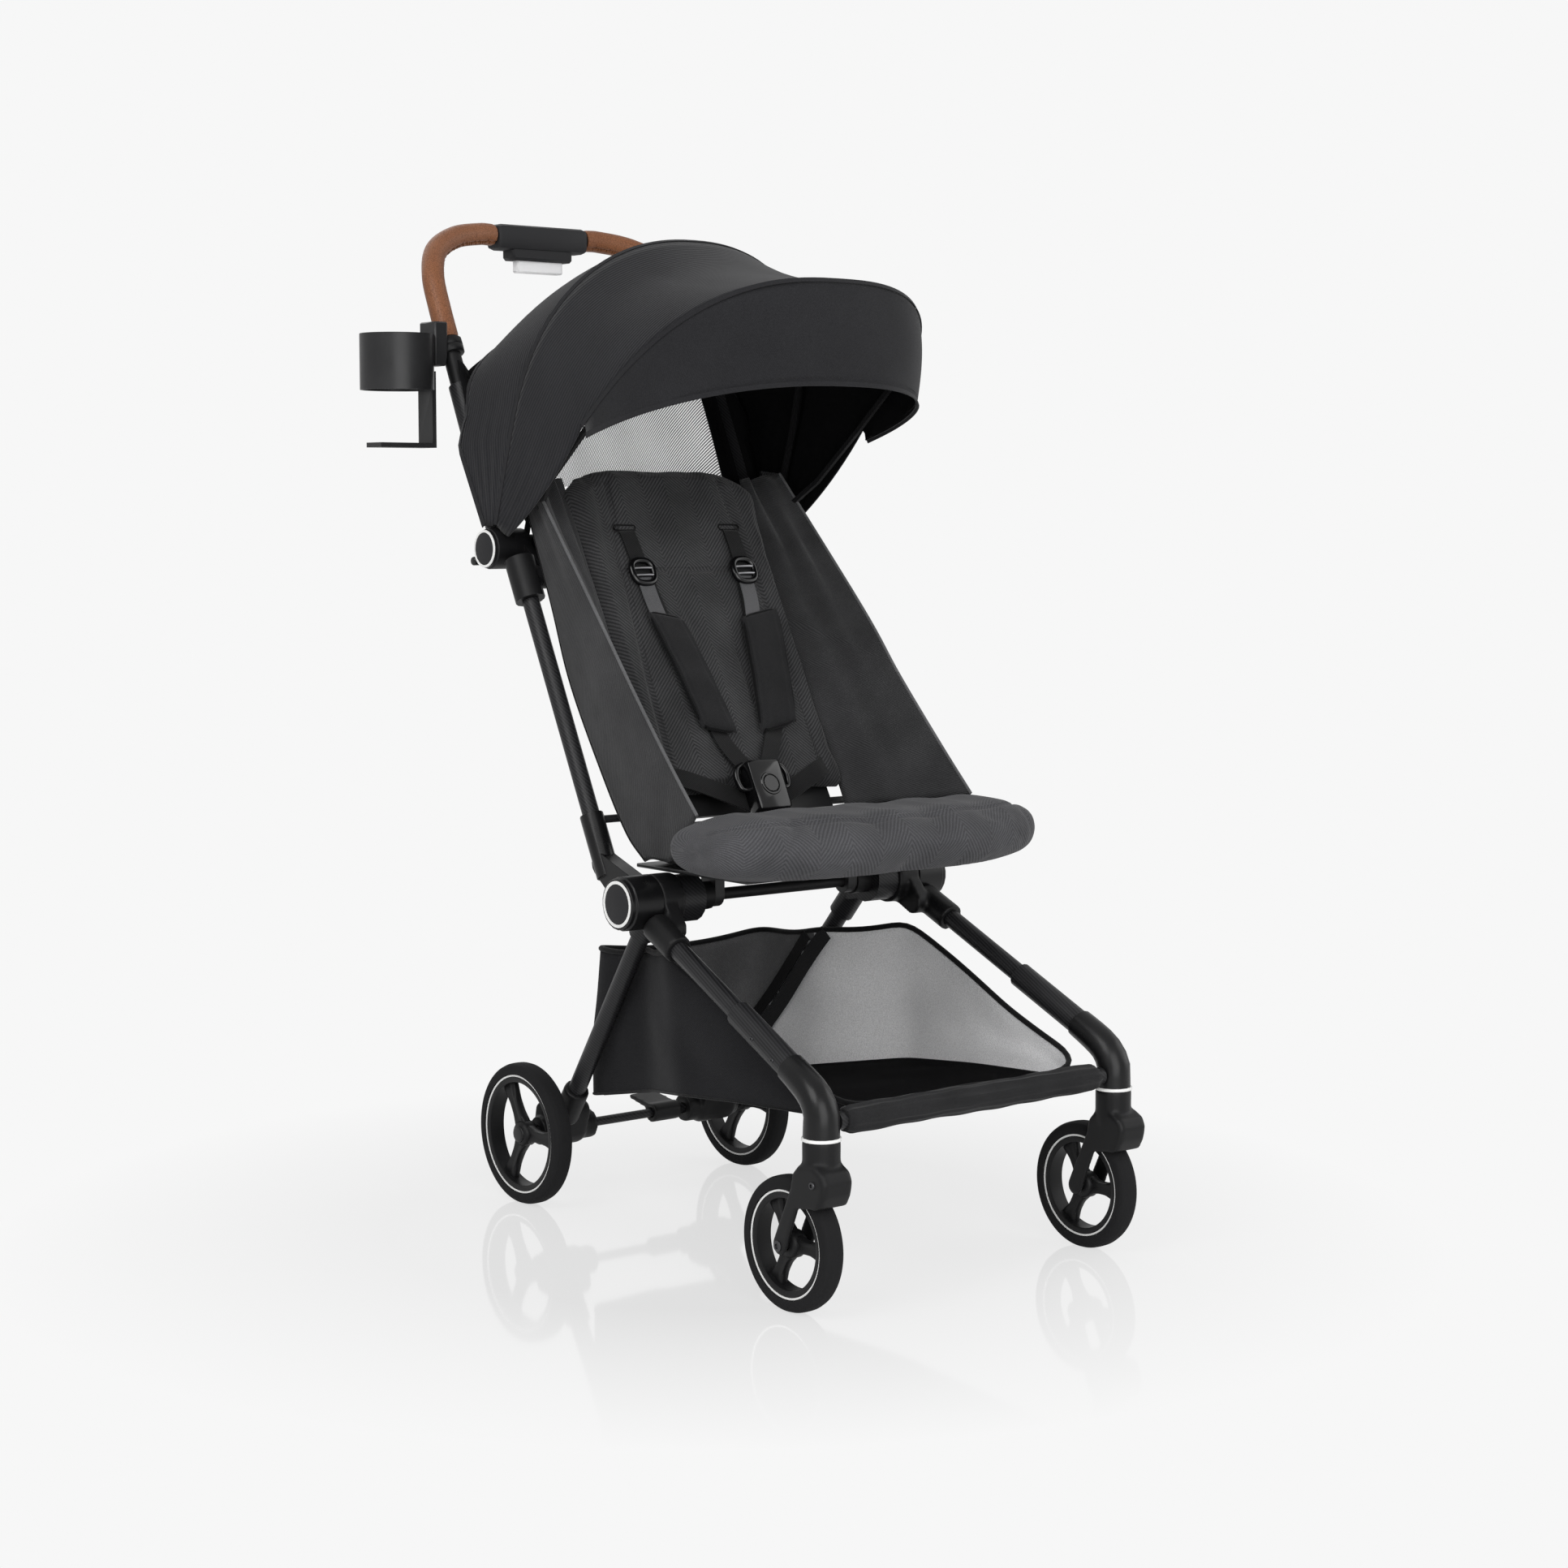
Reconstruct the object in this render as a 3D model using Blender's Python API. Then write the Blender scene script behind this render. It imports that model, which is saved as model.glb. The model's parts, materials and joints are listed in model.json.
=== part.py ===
"""Lightweight folding stroller, modelled in metres with +Z up and the front toward -Y.

The plane x = 0 halves the frame while the pieces are made, and angles in the side view
run from +Y (rear) toward +Z (up). At the end the root moves so that the origin lies
under the middle of the whole stroller, on the ground.
"""

import math

import bmesh
import bpy
from mathutils import Vector

for old in list(bpy.data.objects):
    bpy.data.objects.remove(old, do_unlink=True)

# Clearances
GAP = 0.0003  # between pieces that touch
RUN = 0.0003  # around a shaft or a sliding tube

# Places of the two hinge lines, as (y, z)
LOWER_HUB = (0.0058, 0.351)
UPPER_HUB = (0.249, 0.693)
SIDES = {"right": -1, "left": 1}
BORE_SIDES = 12

# Lower hub, from the outside to the middle
SHAFT_R = 0.006
SHAFT_END = 0.195
HUB_R = 0.027
PUSH_RING = (0.166, 0.1975)
CAP_R = 0.0255
CAP_END = 0.2036
FRONT_RING = (0.139, 0.1657)
REAR_RING = (0.112, 0.1387)
REAR_RING_R = 0.024
LOCK_LUMP = (0.0925, 0.1117)
LOCK_LUMP_R = 0.014
SEAT_LUG = (0.0805, 0.0922)
SEAT_LUG_R = 0.012

# Front legs
LEG_TOP = (0.1763, -0.0575, 0.311)
LEG_LOW = (0.1862, -0.2857, 0.2032)
LEG_SOCKET_LENGTH = 0.0448
LEG_SOCKET_R = 0.0145
LEG_TUBE_R = 0.0095
LEG_SLEEVE_R = 0.0128
LEG_TUBE_SHARE_Y = -0.1571  # where the thin tube enters the sleeve
KNEE_CUFF = 0.052
KNEE_R = (0.0146, 0.0162, 0.0172)
COLLAR_Z = 0.1668
COLLAR_R = 0.0178
FRONT_BAR_R = 0.014
FRONT_BAR_Z = 0.181
FRONT_BAR_HALF = 0.160

# Wheels: centre (x, y), tyre radius, radius where rim and tyre meet
FRONT_WHEEL = {"x": 0.1881, "y": -0.2472, "tyre": 0.0635, "seat": 0.0512}
REAR_WHEEL = {"x": 0.1452, "y": 0.2565, "tyre": 0.075, "seat": 0.0632}
TYRE_WIDTH = 0.022
RIM_WIDTH = 0.018
RIM_WALL = 0.0085
WEB_WIDTH = 0.009
SPOKE_WIDTH = 0.013
WHEEL_HUB_R = 0.0135
AXLE_R = 0.005
WHEEL_SIDES = 26

# Caster fork
FORK_SIDE_GAP = 0.0018
FORK_WALL = 0.0052
FORK_WHEEL_GAP = 0.0028

# Rear legs, brackets and axle
REAR_LEG_TOP = (0.1344, 0.0376, 0.3442)
REAR_LEG_LOW = (0.1064, 0.2565, 0.063)
REAR_TUBE_R = 0.0095
REAR_SOCKET_R = 0.0132
REAR_SOCKET_LENGTH = 0.046
BRACKET_X = (0.078, 0.124)
BRACKET_Y = (0.2385, 0.2755)
BRACKET_Z = (0.052, 0.104)
BRACKET_BOSS_X = (0.062, 0.1305)
BRACKET_BOSS_R = 0.0155
BRACKET_SOCKET_R = 0.0138
BRACKET_SOCKET_TOP = 0.126
PEDAL_X = (0.018, 0.054)

# Push tubes, in the plane x = PUSH_X
PUSH_X = 0.1755
PUSH_ANGLE = 63.5
PUSH_START = (0.059, 0.371)
PUSH_SLEEVE = 0.066
PUSH_SLEEVE_R = 0.012
PUSH_TUBE_R = 0.0088
PUSH_SOCKET = (0.302, 0.348)  # along the tube from its start
PUSH_SOCKET_R = 0.0155

# Upper hub
PIN_R = 0.005
UPPER_R = 0.021
BRACKET_RING = (0.150, 0.1697)
FORK_PLATE_OUT = 0.159  # the folded handle passes just outside this
UPPER_RING = (0.170, 0.190)
UPPER_CAP_END = 0.195
MID_BOW_RING = (0.143, 0.1495)
FRONT_BOW_RING = (0.136, 0.1427)
BOW_RING_R = 0.0145

# Handle
HANDLE_X = 0.172
HANDLE_ANGLE = 65.0
OUTER_TUBE = (0.0214, 0.187)
OUTER_TUBE_R = 0.0125
INNER_TUBE_R = 0.0095
INNER_TUBE_START = 0.075
COLLAR = (0.2225, 0.2400)
HANDLE_COLLAR_R = 0.0140
GRIP_R = 0.0118
GRIP_START = 0.2412
GRIP_BEND = 0.278  # where the straight part of the grip ends
GRIP_SIDES = 8
HANDLE_BEND = (
    (0.170, 0.3820, 0.979),
    (0.151, 0.4065, 1.008),
    (0.117, 0.4235, 1.0255),
    (0.081, 0.4325, 1.0320),
    (0.060, 0.4350, 1.0325),
    (0.000, 0.4365, 1.0310),
)
HOUSING_HALF = 0.060
HOUSING_BELLY_HALF = 0.040
HOUSING_Z = (1.0165, 1.0445)
HOUSING_BELLY_Z = 1.0060
HOUSING_DEPTH = 0.029
BUTTON_HALF = 0.030
BUTTON_Z = (0.9930, 1.0110)
BUTTON_DEPTH = 0.012
BUTTON_TRAVEL = 0.004

# Cup holder, on the right side
CUP_CENTRE = (-0.234, 0.352)
CUP_R = 0.0385
CUP_WALL = 0.0026
CUP_Z = (0.857, 0.915)
CUP_FOOT_Z = (0.7975, 0.8025)
CUP_FOOT_END = -0.2630
CUP_STRAP_X = (-0.2000, -0.1953)
CUP_JAW_X = (-0.1985, -0.1828)
CUP_STRAP_HALF = 0.014

# Seat
BOARD_HALF = 0.150
BOARD_Y = (-0.130, 0.048)
BOARD_Z = (0.3795, 0.3835)
PAD_Y = (-0.0597, 0.045)
PAD_TOP = (0.430, 0.417)  # at its front and rear edge
LIP_HALF = 0.205
LIP_Y = (-0.195, -0.060)
LIP_SIDE_Y = -0.150
LIP_TOP = (0.4435, 0.4405)

# Backrest, in its own plane: t runs up the pad's face from BACK_FOOT, n away from the child
BACK_FOOT = (0.047, 0.450)
BACK_ANGLE = 63.3
BACK_LENGTH = 0.364
BACK_HALF = (0.126, 0.119)
BACK_PAD_THICK = 0.0250
BACK_BOARD_THICK = 0.005
BACK_SEAM = 0.246
RECLINE_AXIS = 0.0603  # along the push tube from its start
RECLINE_ROD_R = 0.004
RECLINE_TAB = (0.104, 0.110)
BUCKLE_HALF = 0.0215
BUCKLE_T = (-0.034, 0.022)
BUCKLE_N = (-0.0262, -0.0044)
BUCKLE_BUTTON_R = 0.009
BUCKLE_SIDES = 16
BUCKLE_TRAVEL = 0.003
WEBBING = 0.0016
WEBBING_WIDTH = 0.020
SHOULDER_X = (0.068, 0.050)
SHOULDER_PAD_T = (0.055, 0.190)
SHOULDER_PAD_HALF = 0.021
SHOULDER_PAD_THICK = 0.009

# Canopy: hoops round the upper hub as angle, half width, straight side, crown, squareness
CLOTH = 0.0016
ARCH_STEPS = 9
REAR_HOOP = {"angle": 65.0, "half": 0.1857, "side": 0.130, "crown": 0.2475, "square": 2.3}
MID_HOOP = {"angle": 108.0, "half": 0.1857, "side": 0.130, "crown": 0.331, "square": 2.3}
FRONT_HOOP = {"angle": 142.0, "half": 0.1805, "side": 0.200, "crown": 0.424, "square": 2.9}
CLOTH_FOOT = 0.0265
REAR_HEM_SIDE = 61.0  # the hem wraps the outside of the handle tube
REAR_HEM_TUBE = 72.0  # and passes in front of it where the hoop crosses
FLAP = 11.0
SEAM_HALF = 0.00035  # between two panels, half of it on each
FOLD_SEAM_HALF = 0.0009  # where they meet at a fold
REAR_GORE_SAG = -0.006  # filled out
MIDDLE_GORE_SAG = 0.015  # hangs in
BOW_R = 0.0035
BOW_INSET = 0.007
RIM_CORNER = (0.184, 0.085, 0.806)
RIM_MIDDLE = (0.0, -0.0925, 0.855)
RIM_SQUARE = 2.5
WINDOW_FOOT = (0.110, 0.2418, 0.768)

# Basket corners on the +X side, bottom and top, from the front middle to the rear middle
BASKET_WALL = 0.0016
BASKET_FLOOR = (
    (0.000, -0.258, 0.163),
    (0.140, -0.256, 0.163),
    (0.150, -0.240, 0.163),
    (0.152, -0.120, 0.162),
    (0.150, -0.020, 0.158),
    (0.106, 0.085, 0.142),
    (0.088, 0.205, 0.117),
    (0.078, 0.2165, 0.115),
    (0.000, 0.2170, 0.115),
)
BASKET_RIM = (
    (0.000, -0.2706, 0.185),
    (0.146, -0.2706, 0.185),
    (0.156, -0.255, 0.202),
    (0.157, -0.150, 0.248),
    (0.157, -0.020, 0.296),
    (0.113, 0.080, 0.293),
    (0.108, 0.166, 0.278),
    (0.098, 0.174, 0.277),
    (0.000, 0.1745, 0.274),
)

BODIES = {}
MATERIALS = {}


def finish(name, colour, roughness, metallic=0.0):
    """One Principled material, made once for each name."""
    if name not in MATERIALS:
        made = bpy.data.materials.new(name)
        made.use_nodes = True
        shader = made.node_tree.nodes["Principled BSDF"]
        shader.inputs["Base Color"].default_value = (*colour, 1.0)
        shader.inputs["Roughness"].default_value = roughness
        shader.inputs["Metallic"].default_value = metallic
        MATERIALS[name] = made
    return MATERIALS[name]


TUBE = ("black_tube", (0.012, 0.012, 0.013), 0.35, 0.3)
PLASTIC = ("black_plastic", (0.014, 0.014, 0.015), 0.5)
GLOSS = ("glossy_plastic", (0.02, 0.02, 0.022), 0.2)
RUBBER = ("tyre_foam", (0.022, 0.022, 0.023), 0.75)
LEATHER = ("tan_leather", (0.36, 0.13, 0.045), 0.5)
CANOPY_CLOTH = ("canopy_cloth", (0.02, 0.02, 0.022), 0.9)
SEAT_CLOTH = ("seat_cloth", (0.04, 0.04, 0.042), 0.9)
LIP_CLOTH = ("lip_cloth", (0.11, 0.11, 0.112), 0.9)
BASKET_CLOTH = ("basket_cloth", (0.015, 0.015, 0.016), 0.9)
WEB = ("webbing", (0.01, 0.01, 0.01), 0.8)
CLEAR = ("clear_button", (0.8, 0.8, 0.8), 0.3)
INNER_BOARD = ("board", (0.03, 0.03, 0.03), 0.7)


def side_dir(angle):
    """Unit vector in the side view."""
    turn = math.radians(angle)
    return Vector((0.0, math.cos(turn), math.sin(turn)))


def mirrored(point, side):
    return Vector((point[0] * side, point[1], point[2]))


def add_body(name, pivot, parent=None):
    """An empty on the joint's axis, which carries the pieces of one moving body."""
    empty = bpy.data.objects.new(name, None)
    bpy.context.scene.collection.objects.link(empty)
    pivot = Vector(pivot)
    if parent is None:
        empty.location = pivot
    else:
        holder, held_at = BODIES[parent]
        empty.parent = holder
        empty.location = pivot - held_at
    BODIES[name] = (empty, pivot)


def link_mesh(name, bm, body):
    bmesh.ops.recalc_face_normals(bm, faces=bm.faces)
    empty, pivot = BODIES[body]
    bmesh.ops.translate(bm, vec=-pivot, verts=bm.verts)
    if bm.calc_volume(signed=True) < 0:
        bmesh.ops.reverse_faces(bm, faces=bm.faces)
    mesh = bpy.data.meshes.new(name)
    bm.to_mesh(mesh)
    bm.free()
    made = bpy.data.objects.new(name, mesh)
    made.parent = empty
    bpy.context.scene.collection.objects.link(made)
    return made


def piece(name, bm, body, look, steps=(), smooth=32.0):
    """Make a named piece; steps are (operation, bmesh) pairs of Booleans on it."""
    made = link_mesh(name, bm, body)
    made.data.materials.append(finish(*look))
    made.data.shade_smooth()
    made.data.set_sharp_from_angle(angle=math.radians(smooth))
    for number, (operation, other) in enumerate(steps):
        tool = link_mesh(f"guide_{name}_{number}", other, body)
        tool.hide_render = True
        tool.display_type = "WIRE"
        cut = made.modifiers.new(f"{operation.lower()}_{number}", "BOOLEAN")
        cut.operation = operation
        cut.object = tool
    return made


def cloth_piece(name, bm, body, look, thickness, even=True):
    """An open sheet given its thickness by Solidify; even keeps it along sharp folds."""
    made = piece(name, bm, body, look)
    solid = made.modifiers.new("thickness", "SOLIDIFY")
    solid.thickness = thickness
    solid.offset = 0.0
    solid.use_even_offset = even
    return made


def cross_axes(axis):
    guide = Vector((0, 0, 1)) if abs(axis.z) < 0.9 else Vector((0, 1, 0))
    first = (guide - axis * guide.dot(axis)).normalized()
    return first, axis.cross(first)


def circle(bm, centre, first, second, radius, sides, turn=0.0):
    ring = []
    for step in range(sides):
        angle = turn + 2 * math.pi * step / sides
        spot = centre + first * radius * math.cos(angle) + second * radius * math.sin(angle)
        ring.append(bm.verts.new(spot))
    return ring


def bridge(bm, ring, other):
    """Faces between two rings, or a ring and a single point."""
    if len(ring) == 1 and len(other) == 1:
        return
    sides = max(len(ring), len(other))
    for step in range(sides):
        after = (step + 1) % sides
        if len(ring) == 1:
            bm.faces.new((ring[0], other[after], other[step]))
        elif len(other) == 1:
            bm.faces.new((ring[step], ring[after], other[0]))
        else:
            bm.faces.new((ring[step], ring[after], other[after], other[step]))


def turned(origin, axis, profile, sides=20, turn=0.0):
    """Solid of revolution from (distance along the axis, radius) points.

    A profile that starts and ends on the axis is a plain solid; any other is a ring.
    """
    bm = bmesh.new()
    origin = Vector(origin)
    axis = Vector(axis).normalized()
    first, second = cross_axes(axis)
    rings = []
    for along, radius in profile:
        centre = origin + axis * along
        if radius <= 0:
            rings.append([bm.verts.new(centre)])
        else:
            rings.append(circle(bm, centre, first, second, radius, sides, turn))
    for ring, other in zip(rings, rings[1:]):
        bridge(bm, ring, other)
    if profile[0][1] > 0:
        bridge(bm, rings[-1], rings[0])
    return bm


def bar(start, end, radius, sides=14):
    start = Vector(start)
    end = Vector(end)
    length = (end - start).length
    return turned(start, end - start, [(0, 0), (0, radius), (length, radius), (length, 0)], sides)


def across(x_from, x_to, place, radius, sides=18, side=1):
    """Bar along X at a (y, z) place."""
    start = Vector((side * x_from, place[0], place[1]))
    end = Vector((side * x_to, place[0], place[1]))
    return bar(start, end, radius, sides)


def swept(points, radii, sides=12, bore=None):
    """Round tube along a path, with flat ends; bore makes it hollow."""
    bm = bmesh.new()
    points = [Vector(point) for point in points]
    tangents = []
    for step, point in enumerate(points):
        before = points[max(step - 1, 0)]
        after = points[min(step + 1, len(points) - 1)]
        tangents.append((after - before).normalized())
    first, second = cross_axes(tangents[0])
    outer = []
    inner = []
    for point, tangent, radius in zip(points, tangents, radii):
        first = (first - tangent * first.dot(tangent)).normalized()
        second = tangent.cross(first)
        outer.append(circle(bm, point, first, second, radius, sides))
        if bore:
            inner.append(circle(bm, point, first, second, bore, sides))
    for ring, other in zip(outer, outer[1:]):
        bridge(bm, ring, other)
    for ring, other in zip(inner, inner[1:]):
        bridge(bm, other, ring)
    for end in (0, -1):
        middle = inner[end] if bore else [bm.verts.new(points[end])]
        bridge(bm, outer[end], middle)
    return bm


def plate(outline, x_from, x_to, edge=0.0, inset=1.0):
    """Outline of (y, z) points extruded along X; edge is the depth of its eased rims."""
    middle_y = sum(y for y, _ in outline) / len(outline)
    middle_z = sum(z for _, z in outline) / len(outline)
    layers = [(x_from, 1.0), (x_to, 1.0)]
    if edge:
        step = math.copysign(edge, x_to - x_from)
        layers = [(x_from, inset), (x_from + step, 1.0), (x_to - step, 1.0), (x_to, inset)]
    bm = bmesh.new()
    rings = []
    for x, size in layers:
        ring = []
        for y, z in outline:
            ring.append(bm.verts.new((x, middle_y + (y - middle_y) * size, middle_z + (z - middle_z) * size)))
        rings.append(ring)
    bm.faces.new(rings[0])
    bm.faces.new(rings[-1])
    for ring, other in zip(rings, rings[1:]):
        bridge(bm, ring, other)
    return bm


def arc(centre, radius, start, end, steps):
    """Points on an arc in the side view, angles in degrees."""
    found = []
    for step in range(steps + 1):
        angle = math.radians(start + (end - start) * step / steps)
        found.append((centre[0] + radius * math.cos(angle), centre[1] + radius * math.sin(angle)))
    return found


def hull(circles, steps=14):
    """Outline round circles given as ((y, z), radius)."""
    points = sorted(
        {(round(y, 7), round(z, 7)) for centre, radius in circles for y, z in arc(centre, radius, 0, 360, steps)}
    )
    chains = []
    for ordered in (points, points[::-1]):
        chain = []
        for spot in ordered:
            while len(chain) > 1 and turns_right(chain[-2], chain[-1], spot):
                chain.pop()
            chain.append(spot)
        chains.extend(chain[:-1])
    return chains


def turns_right(a, b, c):
    return (b[0] - a[0]) * (c[1] - a[1]) - (b[1] - a[1]) * (c[0] - a[0]) <= 1e-12


def block(low, high, bevel=0.0, segments=2):
    bm = bmesh.new()
    bmesh.ops.create_cube(bm, size=1.0)
    for vert in bm.verts:
        for axis in range(3):
            vert.co[axis] = low[axis] if vert.co[axis] < 0 else high[axis]
    if bevel:
        bmesh.ops.bevel(
            bm, geom=list(bm.edges), offset=bevel, segments=segments, affect="EDGES", profile=0.5
        )
    return bm


def smooth_path(points, per_span):
    """Points on a Catmull-Rom curve through the given ones."""
    points = [Vector(point) for point in points]
    found = []
    for step in range(len(points) - 1):
        p1 = points[step]
        p2 = points[step + 1]
        p0 = points[step - 1] if step else p1 * 2 - p2
        p3 = points[step + 2] if step + 2 < len(points) else p2 * 2 - p1
        for part in range(per_span):
            t = part / per_span
            found.append(
                (
                    p1 * 2
                    + (p2 - p0) * t
                    + (p0 * 2 - p1 * 5 + p2 * 4 - p3) * t * t
                    + (p1 * 3 - p0 - p2 * 3 + p3) * t * t * t
                )
                / 2
            )
    found.append(points[-1])
    return found


def sheet(rows):
    """Open surface through rows of points."""
    bm = bmesh.new()
    grid = [[bm.verts.new(spot) for spot in row] for row in rows]
    join_rows(bm, grid)
    return bm


def join_rows(bm, grid):
    for row, other in zip(grid, grid[1:]):
        for step in range(len(row) - 1):
            bm.faces.new((row[step], row[step + 1], other[step + 1], other[step]))


def cushion(mid, top, under, across_steps, along_steps):
    """Closed pad: mid(u, v) gives a point and a normal for u and v from -1 to 1.

    top and under give the height of the two faces over it; at the rim they meet.
    """
    bm = bmesh.new()
    faces = ([], [])
    for i in range(along_steps + 1):
        v = ease(2 * i / along_steps - 1)
        rows = ([], [])
        for j in range(across_steps + 1):
            u = ease(2 * j / across_steps - 1)
            spot, normal = mid(u, v)
            if i in (0, along_steps) or j in (0, across_steps):
                vert = bm.verts.new(spot)
                rows[0].append(vert)
                rows[1].append(vert)
            else:
                fall = round_off(u) * round_off(v)
                rows[0].append(bm.verts.new(spot + normal * top(u, v) * fall))
                rows[1].append(bm.verts.new(spot - normal * under(u, v) * fall))
        faces[0].append(rows[0])
        faces[1].append(rows[1])
    join_rows(bm, faces[0])
    join_rows(bm, [row[::-1] for row in faces[1]])
    return bm


def ease(s):
    """Spread of -1 to 1 that is closer near the ends, where a pad rounds off."""
    return math.copysign(abs(s) ** 0.8, s)


def round_off(s, power=5.0):
    return max(0.0, 1.0 - abs(s) ** power) ** 0.5


def groove(v, at, width, depth):
    """Depth of a sewn channel across a pad."""
    return depth * math.exp(-(((v - at) / width) ** 2))


def along_push(distance):
    """(y, z) on the push tube's line."""
    way = side_dir(PUSH_ANGLE)
    return (PUSH_START[0] + way.y * distance, PUSH_START[1] + way.z * distance)


def along_handle(distance, x=HANDLE_X):
    way = side_dir(HANDLE_ANGLE)
    return Vector((x, UPPER_HUB[0] + way.y * distance, UPPER_HUB[1] + way.z * distance))


def back_point(x, t, n):
    """Point of the backrest's own plane."""
    up = side_dir(BACK_ANGLE)
    behind = side_dir(BACK_ANGLE - 90)
    return Vector((x, BACK_FOOT[0], BACK_FOOT[1])) + up * t + behind * n


def back_half(t):
    share = min(max(t / BACK_LENGTH, 0.0), 1.0)
    return BACK_HALF[0] + (BACK_HALF[1] - BACK_HALF[0]) * share


def back_tuck(t):
    """The pad's sides draw in a little between its ends."""
    v = 2 * t / BACK_LENGTH - 1
    return 1 - 0.02 * (1 - v * v)


def hoop_half_arch(hoop, arch_steps, side_steps):
    """(x, radius) from the foot of the cloth to the crown."""
    found = []
    for step in range(side_steps):
        found.append((hoop["half"], CLOTH_FOOT + (hoop["side"] - CLOTH_FOOT) * step / side_steps))
    power = 2 / hoop["square"]
    rise = hoop["crown"] - hoop["side"]
    for step in range(arch_steps + 1):
        turn = math.pi / 2 * step / arch_steps
        across_share = max(math.cos(turn), 0.0) ** power
        found.append((hoop["half"] * across_share, hoop["side"] + rise * math.sin(turn) ** power))
    return found


def hoop_arch(hoop, arch_steps=ARCH_STEPS, side_steps=3):
    half = hoop_half_arch(hoop, arch_steps, side_steps)
    return [(-x, r) for x, r in half[:-1]] + [(0.0, half[-1][1])] + half[-2::-1]


def hoop_spot(x, radius, angle):
    return Vector((x, UPPER_HUB[0], UPPER_HUB[1])) + side_dir(angle) * radius


def seam_spot(x, radius, angle, offset):
    """Point of a panel's edge, a little to one side of a hoop."""
    return hoop_spot(x, radius, angle + math.degrees(offset / radius))


def rear_hem(radius):
    """Angle of the canopy's rear hem at a distance from the hub."""
    low, tube, high = 0.120, 0.145, 0.214
    if radius < low:
        return REAR_HEM_SIDE
    if radius < tube:
        return REAR_HEM_SIDE + (REAR_HEM_TUBE - REAR_HEM_SIDE) * (radius - low) / (tube - low)
    if radius < high:
        return REAR_HEM_TUBE
    share = (radius - high) / (REAR_HOOP["crown"] - high)
    return REAR_HEM_TUBE + (REAR_HOOP["angle"] - REAR_HEM_TUBE) * share


def front_hem(radius):
    """Angle of the middle gore's front edge: below the arch it runs on as a flap."""
    if radius >= FRONT_HOOP["side"]:
        return FRONT_HOOP["angle"]
    return FRONT_HOOP["angle"] + FLAP * (1 - radius / FRONT_HOOP["side"])


def gore(back_edge, front_edge, rows, sag):
    """Cloth between two edges, which sags toward the seat away from its sides."""
    found = []
    for row in range(rows + 1):
        share = row / rows
        line = []
        for rear, front in zip(back_edge, front_edge):
            spot = rear.lerp(front, share)
            inward = Vector((0, UPPER_HUB[0] - spot.y, UPPER_HUB[1] - spot.z)).normalized()
            crown = 1 - abs(spot.x) / REAR_HOOP["half"]
            line.append(spot + inward * sag * math.sin(math.pi * share) * min(1.0, 2 * crown))
        found.append(line)
    return found


def make_bodies():
    lower = (0, *LOWER_HUB)
    upper = (0, *UPPER_HUB)
    add_body("chassis", (0, 0, 0))
    for name, side in SIDES.items():
        fork = (side * LEG_LOW[0], LEG_LOW[1], COLLAR_Z)
        add_body(f"front_caster_{name}", fork, "chassis")
        wheel = (side * FRONT_WHEEL["x"], FRONT_WHEEL["y"], FRONT_WHEEL["tyre"])
        add_body(f"front_wheel_{name}", wheel, f"front_caster_{name}")
    add_body("rear_legs", lower, "chassis")
    for name, side in SIDES.items():
        wheel = (side * REAR_WHEEL["x"], REAR_WHEEL["y"], REAR_WHEEL["tyre"])
        add_body(f"rear_wheel_{name}", wheel, "rear_legs")
    add_body("brake", (0, REAR_WHEEL["y"], REAR_WHEEL["tyre"]), "rear_legs")
    add_body("seat", lower, "chassis")
    add_body("push_frame", lower, "chassis")
    add_body("backrest", (0, *along_push(RECLINE_AXIS)), "push_frame")
    add_body("buckle_release", back_point(0, sum(BUCKLE_T) / 2, BUCKLE_N[0]), "backrest")
    add_body("handle_frame", upper, "push_frame")
    add_body("handle", along_handle(COLLAR[0], 0.0), "handle_frame")
    add_body("handle_release", (0, HANDLE_BEND[-1][1], BUTTON_Z[0]), "handle")
    add_body("canopy_mid", upper, "handle_frame")
    add_body("canopy_front", upper, "canopy_mid")


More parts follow.
